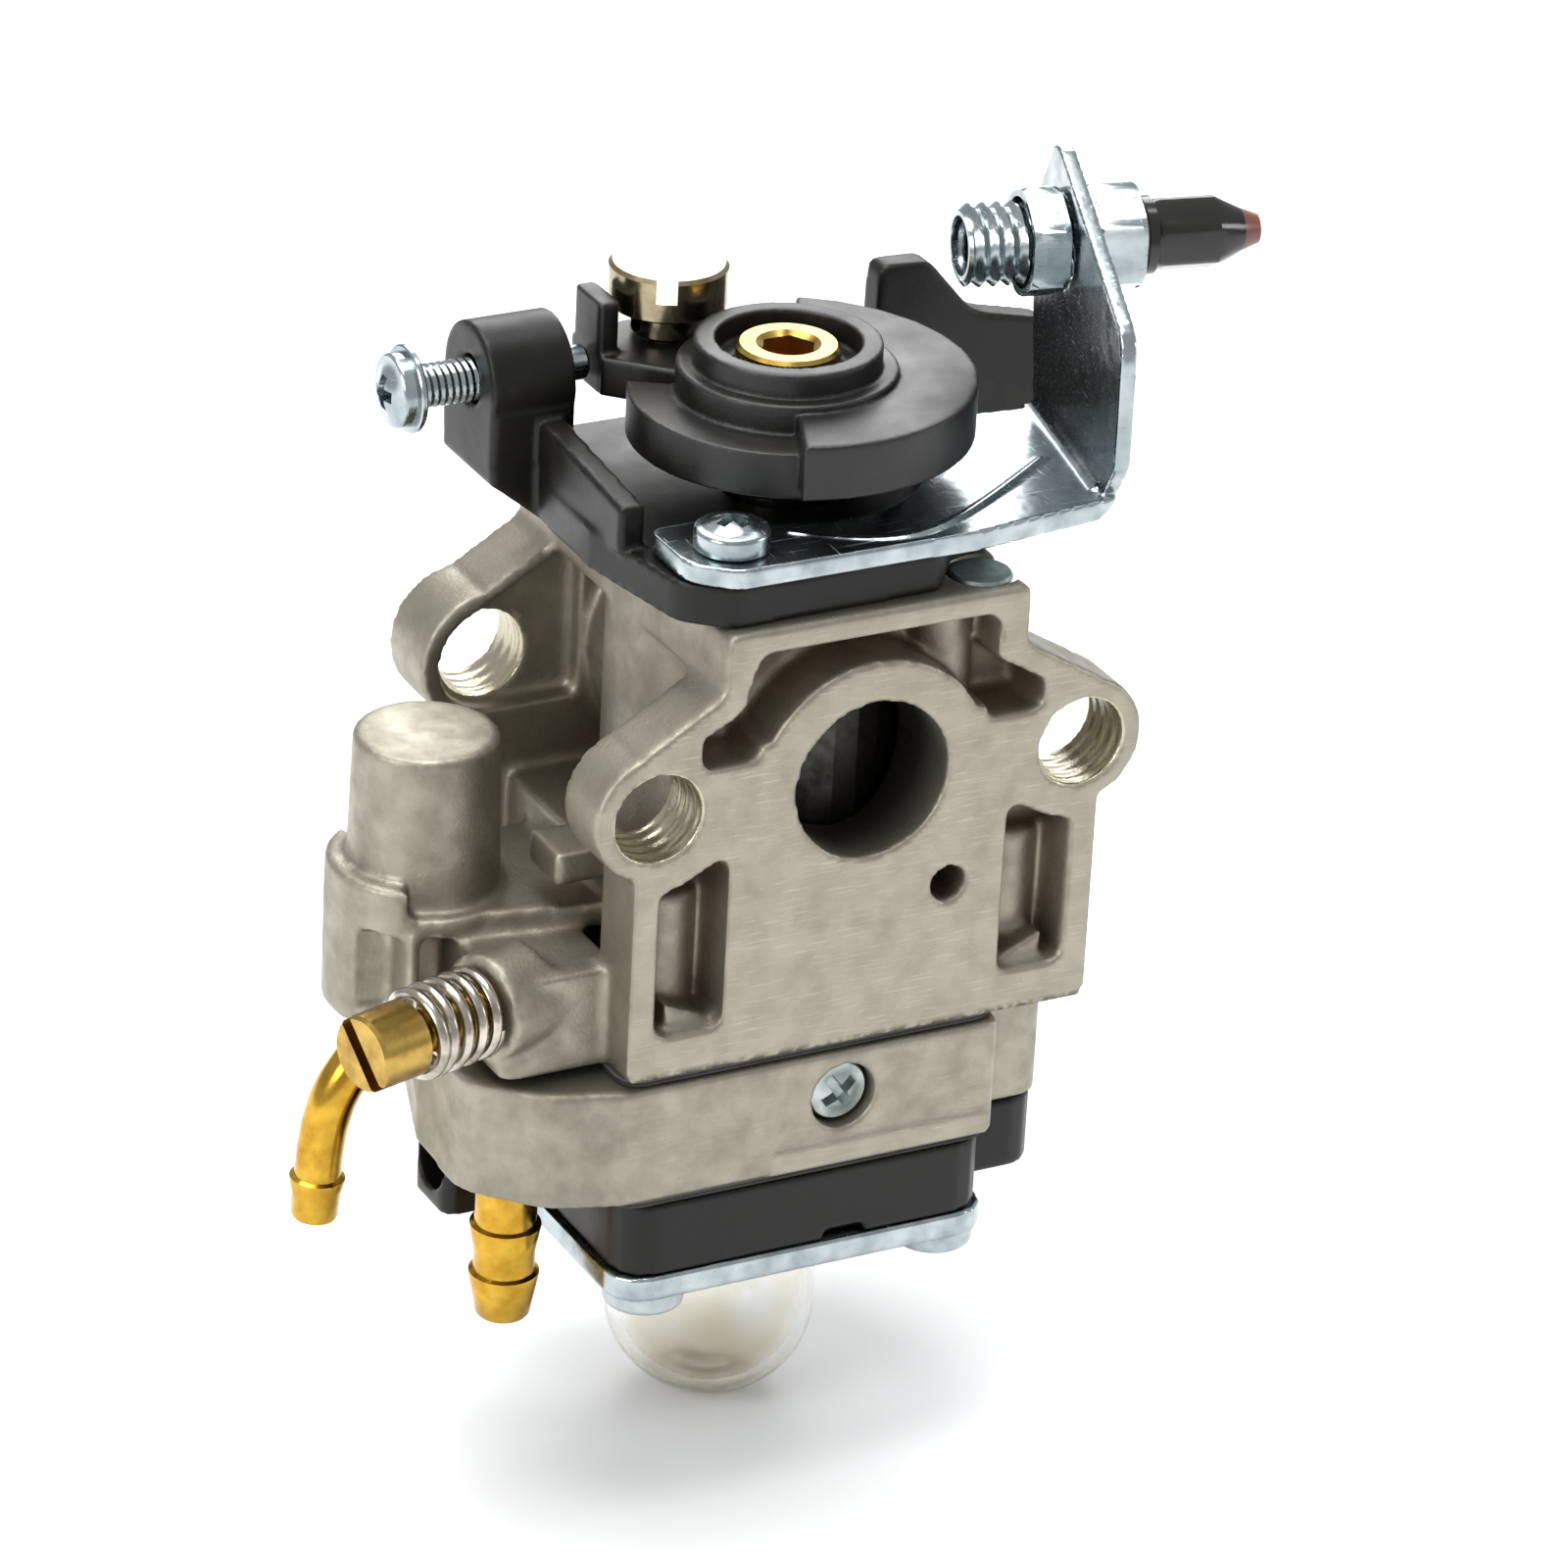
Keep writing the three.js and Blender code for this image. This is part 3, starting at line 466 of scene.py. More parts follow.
def paleBrass():
    # The same brass, handled and dulled: straw yellow with browner patches.
    return metalFinish("paleBrass", "#c2a256", "#98793c", 0.22)


def redVinyl():
    # The boot's sealed tip: brownish red vinyl.
    return moulded("redVinyl", "#6b3f35", "#7d4c40", 0.3, 0.6, 0.01)


def paleNickel():
    # Nickel plate on turned steel: bright with a yellowish cast.
    return metalFinish("paleNickel", "#a59b80", "#83785b", 0.16)


def springWire():
    # Hard-drawn spring steel wire, bright: greyish with drawing marks.
    return metalFinish("springWire", "#cfc8bb", "#8f877c", 0.22)


def groundSteel():
    # Turned and ground steel, oiled: mid grey.
    return metalFinish("groundSteel", "#a8a7a3", "#77736c", 0.3, 0.5, (0.2, 0.2, 3))


def darkSteel():
    # Hardened and oiled steel in shade: nearly black, satin.
    return metalFinish("darkSteel", "#4a4844", "#2f2d2a", 0.34, 0.5, (0.2, 0.2, 3))


def blankSteel():
    # Pressed steel blanking plug, dull and slightly blue-green.
    return metalFinish("blankSteel", "#b4bebb", "#8f9b99", 0.42)


nylonSettings = {"skin": "#0c0b09", "worn": "#1c1916", "texture": 0.22}


def moulded(name, skin, worn, roughness, textureSize, depth, sheen=0.0, specular=0.5):
    material, tree, shader, place = startMaterial(name)
    texture = grain(tree, place, textureSize, 3, 0.6)
    cloud = grain(tree, place, 4, 3)
    surface = addNode(tree, "ShaderNodeNewGeometry")
    edge = spread(tree, surface.outputs["Pointiness"], 0.505, 0.58, 0, 0.8)
    colour = blend(tree, spread(tree, cloud, 0.35, 0.7, 0, 0.5), linear(skin), linear(worn))
    colour = blend(tree, edge, colour, linear(worn))
    tree.links.new(colour, shader.inputs["Base Color"])
    tree.links.new(spread(tree, cloud, 0.3, 0.7, roughness * 0.85, roughness * 1.2),
                   shader.inputs["Roughness"])
    shader.inputs["IOR"].default_value = 1.53
    shader.inputs["Sheen Weight"].default_value = sheen
    shader.inputs["Specular IOR Level"].default_value = specular
    bumped(tree, shader, [(texture, depth), (cloud, 0.04)])
    return material


def blackNylon():
    # Glass-filled nylon, injection moulded: satin black with a dry grey highlight.
    return moulded("blackNylon", nylonSettings["skin"], nylonSettings["worn"], 0.42,
                   nylonSettings["texture"], 0.012)


def coverNylon():
    # The same nylon from a smoother mould, oily from fuel: blacker.
    return moulded("coverNylon", nylonSettings["skin"], nylonSettings["worn"], 0.38,
                   nylonSettings["texture"], 0.01, specular=0.28)


def bootVinyl():
    # Soft black vinyl, dip moulded: glossy.
    return moulded("bootVinyl", "#0f100c", "#1d1e17", 0.16, 0.6, 0.01)


def gasketPaper():
    # Pressed fibre gasket: matt dark grey with flecks.
    return moulded("gasketPaper", "#2f2e2c", "#4b4844", 0.85, 0.15, 0.02, 0.2)


def coatedFabric():
    # Fuel diaphragm, nitrile on fabric: matt black.
    return moulded("coatedFabric", "#20201f", "#2e2d2b", 0.7, 0.3, 0.01)


def valveRubber():
    # Nitrile rubber valve: dark grey-brown, satin.
    return moulded("valveRubber", "#5d574e", "#756e62", 0.5, 0.3, 0.01)


def milkyVinyl():
    # Translucent polyurethane: clear with a milky cast, and beige towards the bottom as painted shading
    # that stands in for the valve seen through the wall.
    material, tree, shader, place = startMaterial("milkyVinyl")
    cloud = grain(tree, place, 3, 3)
    colour = blend(tree, spread(tree, cloud, 0.35, 0.65, 0, 1), linear("#ffffff"), linear("#f9f7ec"))
    height = addNode(tree, "ShaderNodeSeparateXYZ", links={0: place}).outputs[2]
    # Painted shading: beige towards the bottom, standing in for the valve's image seen through the bulb.
    colour = blend(tree, spread(tree, height, -48.6, -51.2, 0, 0.75), colour, linear("#cfc5ab"))
    tree.links.new(colour, shader.inputs["Base Color"])
    tree.links.new(spread(tree, cloud, 0.3, 0.7, 0.05, 0.12), shader.inputs["Roughness"])
    shader.inputs["IOR"].default_value = 1.2
    shader.inputs["Transmission Weight"].default_value = 0.97
    bumped(tree, shader, [(cloud, 0.02)])
    return material


alloy = dieCastAlloy()
zinc = brightZinc()
brass = turnedBrass()
straw = paleBrass()
nickel = paleNickel()
wire = springWire()
steel = groundSteel()
shadeSteel = darkSteel()
plugSteel = blankSteel()
nylon = blackNylon()
darkNylon = coverNylon()
vinyl = bootVinyl()
vinylTip = redVinyl()
paper = gasketPaper()
fabric = coatedFabric()
valveGrey = valveRubber()
milky = milkyVinyl()
print("finishes ready")


bodyCasting = {"voxel": 0.34, "softening": 5, "triangles": 150000}
pumpCasting = {"voxel": 0.3, "softening": 5, "triangles": 90000}
coverMoulding = {"voxel": 0.22, "softening": 4, "triangles": 70000}
leverMoulding = {"voxel": 0.17, "softening": 4, "triangles": 70000}
purgeMoulding = {"voxel": 0.24, "softening": 4, "triangles": 60000}
bracketSheet = {"voxel": 0.16, "softening": 4, "triangles": 60000, "bend": 1.0}
plateSheet = {"voxel": 0.17, "softening": 4, "triangles": 40000}


def castBody():
    up = (0, 0, 1)
    along = (0, 1, 0)
    sides = (-1, 1)
    faces = [((0, -1, 0), along, 5.55, 33), ((0, -1, 0), along, 8.5, 5.8)]
    for side in sides:
        faces.append(((boltHalfSpacing * side, -1, 0), along, 3.1, 33))
        faces.append(((boltHalfSpacing * side, 0, 0), along, 4.5, 5))
        faces.append(((boltHalfSpacing * side, 25.5, 0), along, 4.9, 5.5))
        faces.append(((boltHalfSpacing * side, 0.2, 0), along, 5.6, 4.2))
        faces.append(((12.7 * side, 5.1, -17), up, 2.4, 9.8))
    faces += [((0, throttleY, -12), up, 11.2, 24), ((0, throttleY, -7.8), up, 9.3, 20),
              ((-24, 17.1, -10.4), up, 5.14, 10.4, 4.85), ((-24, 17.1, -19), up, 6.5, 8.3),
              ((6.6, 4.6, 2), up, 2.3, 9), ((9, 3.4, 10.7), up, 2.4, 1.6),
              ((-25, 5.7, -14.6), -mixtureDirection, 3.65, 4)]
    roundEnd = [Vector((-boltHalfSpacing, 0)) + 3.6 * Vector((math.cos(a), math.sin(a)))
                for a in (math.radians(270 - 15 * step) for step in range(11))]
    earPocket = prism([*roundEnd, *map(Vector, [(-10.3, 7.2), (-9, 7.2), (-9, -3.6)])],
                      24.8, 26.8, "y")
    piece = mould("carb_body", bodyCasting, cuts=[earPocket], roundTo=faces)
    return finish(piece, "castBody", alloy, ["carb_body"], creaseDegrees=0)


def castPump():
    faces = [((-0.7, -1, -23.3), (0, 1, 0), 2.35, 4.4), ((-21, 9, -28.4), (0, 0, 1), 2.35, 3.2),
             ((-3, throttleY, -28.4), (0, 0, 1), 10.4, 3.4)]
    step = prism(roundOutline([(-6, -28.3), (10.4, -28.3), (10.4, -26.6, 0.5), (-6, -26.6, 0.5)]),
                 0, 0.6, "y")
    piece = mould("pump_body", pumpCasting, adds=[step], roundTo=faces)
    return finish(piece, "pumpCasting", alloy, ["pump_body"], creaseDegrees=0)


def mouldedCover():
    faces = [((-19, 25, 21), (1, 0, 0), 3.9, 7), ((0, throttleY, 11), (0, 0, 1), 4.1, 5)]
    piece = mould("throttle_cover", coverMoulding, roundTo=faces)
    return finish(piece, "throttleCover", darkNylon, ["throttle_cover"],
                  creaseDegrees=0)


def mouldedLever():
    up = (0, 0, 1)
    faces = [((0, throttleY, 17.2), up, radius, 9) for radius in (12.5, 10.4, 8, 7.3, 6.2, 4.8, 3.55)]
    piece = mould("throttle_lever", leverMoulding, roundTo=faces)
    return finish(piece, "throttleLever", nylon, ["throttle_lever"],
                  creaseDegrees=0)


def mouldedPurgeBlock():
    faces = [((-2.4, 14.7, -35), (0, 0, 1), 8.95, 2.6), ((-26, 16, -31.6), (1, 0, 0), 1.9, 9)]
    piece = mould("purge_body", purgeMoulding, roundTo=faces)
    return finish(piece, "purgeBlock", darkNylon, ["purge_body"], creaseDegrees=0)


# A thin raised bead pressed into a flat face, along a smooth line.
def beadAlong(points, height, radius):
    curve = bpy.data.curves.new("bead", "CURVE")
    curve.dimensions = "3D"
    curve.bevel_depth = radius
    curve.use_fill_caps = True
    line = curve.splines.new("NURBS")
    line.points.add(len(points) - 1)
    for spot, (x, y) in zip(line.points, points):
        spot.co = (x, y, height, 1)
    line.use_endpoint_u = True
    line.order_u = 4
    drawn = bpy.data.objects.new("bead", curve)
    bpy.context.collection.objects.link(drawn)
    mesh = bpy.data.meshes.new_from_object(
        drawn.evaluated_get(bpy.context.evaluated_depsgraph_get()))
    bpy.data.objects.remove(drawn)
    bead = bpy.data.objects.new("bead", mesh)
    bpy.context.collection.objects.link(bead)
    return bead


def bentBracket():
    bend = bracketSheet["bend"]
    centreU, centreZ = -0.75 - bend, 16.5 + bend
    quarter = [math.radians(-90 + 90 * step / 10) for step in range(11)]
    corner = [Vector((centreU + 2.1 * math.cos(a), centreZ + 2.47 * math.sin(a))) for a in quarter]
    fillet = [Vector((centreU + bend * math.cos(a), centreZ + bend * math.sin(a))) for a in quarter]
    tools = prism([Vector((centreU, 14)), *corner, Vector((2, centreZ)), Vector((2, 14))],
                  -14, 5, "y", tabFrame)
    fill = prism([Vector((centreU, 16)), *fillet, Vector((-0.4, centreZ)), Vector((-0.4, 16))],
                 -11.4, 3, "y", tabFrame)
    bead = beadAlong([(-4.9, 4.7), (-2.4, 2.6), (0.9, 1.0), (4.7, 1.3), (10.1, 4.6), (16.3, 9.0)],
                     16.5, 0.26)
    faces = [((0, throttleY, 14), (0, 0, 1), 9.4, 4)]
    piece = mould("cable_bracket", bracketSheet, adds=[fill, bead], cuts=[tools], roundTo=faces)
    return finish(piece, "cableBracket", zinc, ["cable_bracket"], creaseDegrees=0)


def pressedPlate():
    faces = [((-2.4, 14.7, -37), (0, 0, 1), 7.5, 4)]
    piece = mould("bulb_plate", plateSheet, roundTo=faces)
    return finish(piece, "bulbPlate", zinc, ["bulb_plate"], creaseDegrees=0)


castBody()
castPump()
print("castings ready")
mouldedCover()
mouldedLever()
mouldedPurgeBlock()
bentBracket()
pressedPlate()
print("mouldings and sheet parts ready")


def geometryTree(name, sizes):
    tree = bpy.data.node_groups.new(name, "GeometryNodeTree")
    tree.interface.new_socket("Geometry", in_out="INPUT", socket_type="NodeSocketGeometry")
    for label, value in sizes.items():
        socket = tree.interface.new_socket(label, in_out="INPUT", socket_type="NodeSocketFloat")
        socket.default_value = value
    tree.interface.new_socket("Geometry", in_out="OUTPUT", socket_type="NodeSocketGeometry")
    return tree, tree.nodes.new("NodeGroupInput"), tree.nodes.new("NodeGroupOutput")


def endTree(tree, geometry, outside, material):
    real = addNode(tree, "GeometryNodeRealizeInstances", links={"Geometry": geometry})
    painted = addNode(tree, "GeometryNodeSetMaterial", {"Material": material},
                      {"Geometry": real.outputs[0]})
    tree.links.new(painted.outputs[0], outside.inputs[0])


def runTree(piece, tree, sizes):
    nodes = piece.modifiers.new("nodes", "NODES")
    nodes.node_group = tree
    for socket in tree.interface.items_tree:
        if socket.in_out == "INPUT" and socket.name in sizes:
            nodes[socket.identifier] = sizes[socket.name]
    return applyModifiers(piece)


crossSettings = {"length": 0.56, "width": 0.17, "depth": 0.62, "corner": 0.35}


# A pan head with a cross recess on a threaded shank. The head's underside is at 0, and its shank
# reaches down from it.
def panScrew(name, headRadius, headHeight, shankRadius, length, pitch, washer=0, pin=0,
             cross=None):
    corner = crossSettings["corner"]
    rows = [(0, -length), (shankRadius * 0.7, -length)]
    if pin:
        rows += [(shankRadius * 0.8, -length + 0.2), (shankRadius * 0.8, -length + pin)]
    rows += threadRows(shankRadius, 0.22 * pitch, pitch, -length + 0.3 + pin, -0.25)
    rows += [(shankRadius * 0.8, -0.02), (headRadius - 0.15, 0), (headRadius, 0.12)]
    rows += arcRows(headRadius - corner, headHeight * 0.55, corner, 0, 55, 4)
    dome = headRadius - corner * 0.75
    rows += [(dome * (1 - step / 6), headHeight * (0.55 + 0.45 * math.sin(math.pi / 2 * step / 6))
              + corner * 0.3 * (1 - step / 6)) for step in range(1, 6)]
    rows += [(0, headHeight)]
    piece = turnPiece(name, rows, 40)
    sizes = cross or crossSettings
    reach, half = sizes["length"] * headRadius, sizes["width"] * headRadius
    deep = headHeight * (1 - crossSettings["depth"])
    for turn in (0, 1):
        bm = bmesh.new()
        corners = []
        for height, long, wide in ((deep, reach * 0.5, half * 0.7), (headHeight + 0.3, reach, half)):
            for sideX, sideY in ((-1, -1), (1, -1), (1, 1), (-1, 1)):
                spot = (sideX * long, sideY * wide) if turn == 0 else (sideY * wide, sideX * long)
                corners.append(bm.verts.new((*spot, height)))
        bmesh.ops.convex_hull(bm, input=corners)
        cutAway(piece, keepMesh("tool", bm))
    if washer:
        plate = turnPiece("washer", [(0, -0.02), (washer, -0.02), (washer + 0.1, 0.1),
                                     (washer + 0.1, 0.35), (washer, 0.45), (0, 0.45)], 40)
        joinOn(piece, plate)
    return piece


def screwAt(name, screw, place, node, material=zinc):
    return finish(move(screw, place), name, material, [node])


def idleScrew():
    place = Matrix.Translation((-22.2, 25, 21)) @ Matrix.Rotation(-math.pi / 2, 4, "Y")
    screwAt("idleScrew", panScrew("idle", 2.5, 2.1, 1.5, 12.5, 0.5, washer=2.85, pin=2.2), place,
            "idle_screw")


def bracketScrews():
    front = Matrix.Translation((-9.2, 3.9, 16.55)) @ Matrix.Rotation(math.radians(20), 4, "Z")
    screwAt("bracketScrewFront", panScrew("front", 2.5, 2.1, 1.2, 5.6, 0.8), front,
            "bracket_screw_front")
    screwAt("bracketScrewRear", panScrew("rear", 2.5, 2.1, 1.2, 8, 0.8),
            Matrix.Translation((9.4, 22.8, 16.55)), "bracket_screw_rear")


def pumpPlug():
    place = Matrix.Translation((-0.7, 2.2, -23.3)) @ Matrix.Rotation(math.pi / 2, 4, "X")
    turn = Matrix.Rotation(math.radians(35), 4, "Z")
    wideCross = {"length": 0.8, "width": 0.2}
    screwAt("pumpPlugScrew", panScrew("plug", 2.15, 1.4, 1.2, 0.8, 0.5, cross=wideCross),
            place @ turn, "pump_plug_screw", plugSteel)


# The four screws under the plate: one screw set on the plate's corners by Geometry Nodes.
def coverScrews():
    pattern = panScrew("coverScrew", 2.75, 2, 1.45, 18.6, 0.8)
    move(pattern, Matrix.Rotation(math.pi, 4, "X"))
    pattern.data.shade_smooth()
    pattern.data.set_sharp_from_angle(angle=math.radians(30))
    spots = [(x, y, -36.05) for x in (-13.4, 8.4) for y in (3.4, 26.2)]
    mesh = bpy.data.meshes.new("plateCorners")
    mesh.from_pydata(spots, [], [])
    corners = bpy.data.objects.new("coverScrews", mesh)
    bpy.context.collection.objects.link(corners)
    tree, inside, outside = geometryTree("screwsOnCorners", {"Size": 1.0, "Turn step": 0.9})
    single = addNode(tree, "GeometryNodeObjectInfo", {"Object": pattern})
    index = addNode(tree, "GeometryNodeInputIndex")
    turn = addNode(tree, "ShaderNodeMath", {"operation": "MULTIPLY"},
                   {0: index.outputs[0], 1: inside.outputs["Turn step"]})
    angle = addNode(tree, "ShaderNodeCombineXYZ", links={"Z": turn.outputs[0]})
    placed = addNode(tree, "GeometryNodeInstanceOnPoints",
                     links={"Points": inside.outputs["Geometry"],
                            "Instance": single.outputs["Geometry"],
                            "Rotation": angle.outputs[0], "Scale": inside.outputs["Size"]})
    endTree(tree, placed.outputs[0], outside, zinc)
    runTree(corners, tree, {"Size": 1.0, "Turn step": 0.9})
    bpy.data.objects.remove(pattern)
    finish(corners, "coverScrews", zinc, [f"cover_screw_{n}" for n in (1, 2, 3, 4)])


# A wire coil about Z, its two end turns closed up flat.
def coilTree():
    sizes = {"Radius": 1.0, "Wire": 0.3, "Height": 5.0, "Turns": 6.0, "End turns": 0.12}
    tree, inside, outside = geometryTree("wireCoil", sizes)
    spiral = addNode(tree, "GeometryNodeCurveSpiral", {"Resolution": 36, "Height": 0.0},
                     {"Rotations": inside.outputs["Turns"], "Start Radius": inside.outputs["Radius"],
                      "End Radius": inside.outputs["Radius"]})
    travel = addNode(tree, "GeometryNodeSplineParameter")
    ending = addNode(tree, "ShaderNodeMath", {"operation": "SUBTRACT", 0: 1.0},
                     {1: inside.outputs["End turns"]})
    climb = addNode(tree, "ShaderNodeMapRange", None,
                    {"Value": travel.outputs["Factor"], "From Min": inside.outputs["End turns"],
                     "From Max": ending.outputs[0], "To Max": inside.outputs["Height"]})
    lift = addNode(tree, "ShaderNodeCombineXYZ", links={"Z": climb.outputs[0]})
    raised = addNode(tree, "GeometryNodeSetPosition",
                     links={"Geometry": spiral.outputs[0], "Offset": lift.outputs[0]})
    section = addNode(tree, "GeometryNodeCurvePrimitiveCircle", {"Resolution": 12},
                      {"Radius": inside.outputs["Wire"]})
    tube = addNode(tree, "GeometryNodeCurveToMesh", {"Fill Caps": True},
                   {"Curve": raised.outputs[0], "Profile Curve": section.outputs[0]})
    endTree(tree, tube.outputs[0], outside, wire)
    return tree


def coil(name, sizes):
    mesh = bpy.data.meshes.new(name)
    mesh.from_pydata([(0, 0, 0)], [], [])
    piece = bpy.data.objects.new(name, mesh)
    bpy.context.collection.objects.link(piece)
    return runTree(piece, coilTree(), sizes)


mixtureCoil = {"Radius": 2.73, "Wire": 0.42, "Height": 4.76, "Turns": 5.4, "End turns": 0.14}
returnCoil = {"Radius": 6.6, "Wire": 0.4, "Height": 4.15, "Turns": 3.5, "End turns": 0.14}


def springs():
    piece = coil("mixtureSpring", mixtureCoil)
    move(piece, mixtureFrame @ Matrix.Translation((0, 0, 0.3 + mixtureCoil["Wire"])))
    finish(piece, "mixtureSpring", wire, ["mixture_spring"])
    piece = coil("returnSpring", returnCoil)
    move(piece, Matrix.Translation((0, throttleY, 7.15 + returnCoil["Wire"])))
    finish(piece, "returnSpring", wire, ["return_spring"], body="body")
    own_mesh(piece)


def mixtureScrew():
    rows = [(0, -7), (0.25, -6.8), (1.3, -4.5), (1.5, -4.4)]
    rows += threadRows(1.5, 0.22, 0.6, -4.2, 1.5)
    rows += [(1.5, 1.8), (1.5, 6.2), (2.45, 6.2), (2.6, 6.35), (2.6, 9.95), (2.4, 10.2), (0, 10.2)]
    piece = turnPiece("mixture", rows, 56)
    slot = prism([(-3, -0.5), (3, -0.5), (3, 0.5), (-3, 0.5)], 8.9, 11)
    cutAway(piece, slot)
    turn = Matrix.Rotation(math.radians(-50), 4, "Z")
    finish(move(piece, mixtureFrame @ turn), "mixtureScrew", straw, ["mixture_screw"])


def cableAdjuster():
    rows = [(2.0, -7.7), (2.3, -7.7)]
    rows += threadRows(2.8, 0.42, 1.0, -7.45, 4.1, 8)
    rows += [(2.3, 4.3), (2.0, 4.3)]
    rows += list(reversed(threadRows(2.0, 0.14, 1.0, -7.4, 4.1, 8)))
    piece = turnPiece("adjuster", rows, 48, closed=True)
    finish(move(piece, adjusterFrame), "cableAdjuster", zinc, ["cable_adjuster"])
    for name, node, low, high in (("adjusterNutInner", "adjuster_nut_inner", -3.6, -1.05),
                                  ("adjusterNutOuter", "adjuster_nut_outer", 0.65, 4.2)):
        flats = 6.75
        rows = [(3.05, low), (3.45, low), (hexagon(flats, 3.6), low + 0.02),
                (hexagon(flats), low + 0.45), (hexagon(flats), high - 0.45),
                (hexagon(flats, 3.6), high - 0.02), (3.45, high), (3.05, high)]
        nut = turnPiece(node, rows, 96, closed=True)
        finish(move(nut, adjusterFrame), name, zinc, [node], creaseDegrees=25)


def cableBoot():
    flats = hexagon(4.5, 2.5)
    rows = [(0, 4.5), (2.4, 4.5), (2.62, 4.65), (2.62, 5.3), (2.4, 5.5), (flats, 5.9), (flats, 9.6)]
    rows += [(2.05, 10.4), (1.45, 11.6), (1.1, 12.5), (1.0, 12.8), (0.65, 12.8), (0.6, 12.5),
             (0.6, 8), (0, 8)]
    piece = turnPiece("boot", rows, 72)
    finish(move(piece, adjusterFrame), "cableBoot", vinyl, ["cable_boot"],
           creaseDegrees=24)
    piece.data.materials.append(vinylTip)
    tipStart = (adjusterFrame @ Vector((0, 0, 11.9))) * mm
    outward = adjusterFrame.to_3x3() @ Vector((0, 0, 1))
    for face in piece.data.polygons:
        face.material_index = int((face.center - tipStart).dot(outward) > 0)


def cableSwivel():
    rows = [(0, 18.6), (1.35, 18.6), (1.5, 18.75), (1.5, 22.2), (2.3, 22.3), (2.4, 22.4),
            (2.4, 24.2), (3.85, 24.2), (4, 24.35), (4, 26.95), (3.75, 27.2), (0, 27.2)]
    piece = turnPiece("swivel", rows, 72)
    along = Matrix.Rotation(math.radians(-28), 4, "Z")
    cutAway(piece, prism([(-0.7, -6), (0.7, -6), (0.7, 6), (-0.7, 6)], 25.6, 28, place=along),
            prism(circle(0, 23.2, 0.75, 24), -4, 4, "x"))
    finish(move(piece, Matrix.Translation(swivelAxis)), "cableSwivel", nickel,
           ["cable_swivel"])


def needleInsert():
    key = hexagon(3.3)
    rows = [(0, 20.25), (3.35, 20.25), (3.45, 20.4), (3.45, 24.75), (3.2, 25), (2.15, 25),
            (key, 24.7), (key, 22.4), (0, 22.2)]
    piece = turnPiece("insert", rows, 72)
    finish(move(piece, Matrix.Translation(throttleAxis)), "needleInsert", straw,
           ["needle_adjuster"])


def bodyPlug():
    rows = [(0, 10.7), (2.1, 10.7), (2.1, 11.85), (1.95, 12.05), (1.6, 12.02), (1.2, 11.95),
            (0, 11.92)]
    piece = turnPiece("plug", rows, 56)
    finish(move(piece, Matrix.Translation((9, 3.4, 0))), "bodyPlug", plugSteel,
           ["body_plug"])


def returnNipple():
    rows = [(1.2, -26), (2.1, -26), (2.1, -32.85), (2.4, -33), (2.43, -33.1), (2.08, -35),
            (2.08, -36.45), (2.38, -36.6), (2.4, -36.7), (2.05, -38.6), (1.85, -39.7), (1.7, -39.9),
            (1.3, -39.9), (1.2, -39.7)]
    piece = turnPiece("nipple", rows, 56, closed=True)
    finish(move(piece, Matrix.Translation((-21, 9, 0))), "returnNipple", brass,
           ["return_nipple"])


# The bent pipe's middle line, then the turned shape that follows it.
pipeRoute = [(-21.33, 20.4, -21.98), (-25.56, 20.4, -24.24), (-28.1, 20.5, -27.2),
             (-29.2, 20.6, -31), (-29.6, 20.7, -36.8)]


def inletPipe():
    dense = []
    points = [Vector(p) for p in pipeRoute]
    points = [2 * points[0] - points[1], *points, 2 * points[-1] - points[-2]]
    for a, b, c, d in zip(points, points[1:], points[2:], points[3:]):
        for step in range(12):
            t = step / 12
            dense.append(0.5 * (2 * b + (c - a) * t + (2 * a - 5 * b + 4 * c - d) * t ** 2
                                + (3 * b - a - 3 * c + d) * t ** 3))
    dense.append(points[-2])
    lengths = [0.0]
    for before, after in zip(dense, dense[1:]):
        lengths.append(lengths[-1] + (after - before).length)

    def path(along):
        index = min(max(next((i for i, l in enumerate(lengths) if l >= along), len(dense) - 1), 1),
                    len(dense) - 1)
        share = (along - lengths[index - 1]) / (lengths[index] - lengths[index - 1])
        spot = dense[index - 1].lerp(dense[index], share)
        ahead, behind = dense[min(index + 1, len(dense) - 1)], dense[max(index - 2, 0)]
        forward = (ahead - behind).normalized()
        side = Vector((0, 1, 0))
        up = forward.cross(side).normalized()
        turn = Matrix((up.cross(forward).normalized(), up, forward)).transposed().to_4x4()
        return Matrix.Translation(spot) @ turn

    total = lengths[-1]
    outer = [(1.6, total * step / 40) for step in range(40)]
    barb = [(1.6, total - 3.2), (1.9, total - 3.05), (1.92, total - 2.9), (1.66, total - 1.8),
            (1.63, total - 0.3), (1.5, total)]
    outer = [row for row in outer if row[1] < total - 3.3] + barb
    inner = [(1.0, total), (0.95, total - 0.3)]
    inner += [(0.95, total * (1 - step / 40)) for step in range(2, 41)]
    piece = turnPiece("pipe", outer + inner, 40, closed=True, path=path)
    finish(piece, "inletPipe", brass, ["inlet_nipple"])


idleScrew()
bracketScrews()
pumpPlug()
coverScrews()
print("screws ready")
springs()
mixtureScrew()
cableAdjuster()
cableBoot()
cableSwivel()
needleInsert()
bodyPlug()
returnNipple()
inletPipe()
print("turned parts ready")


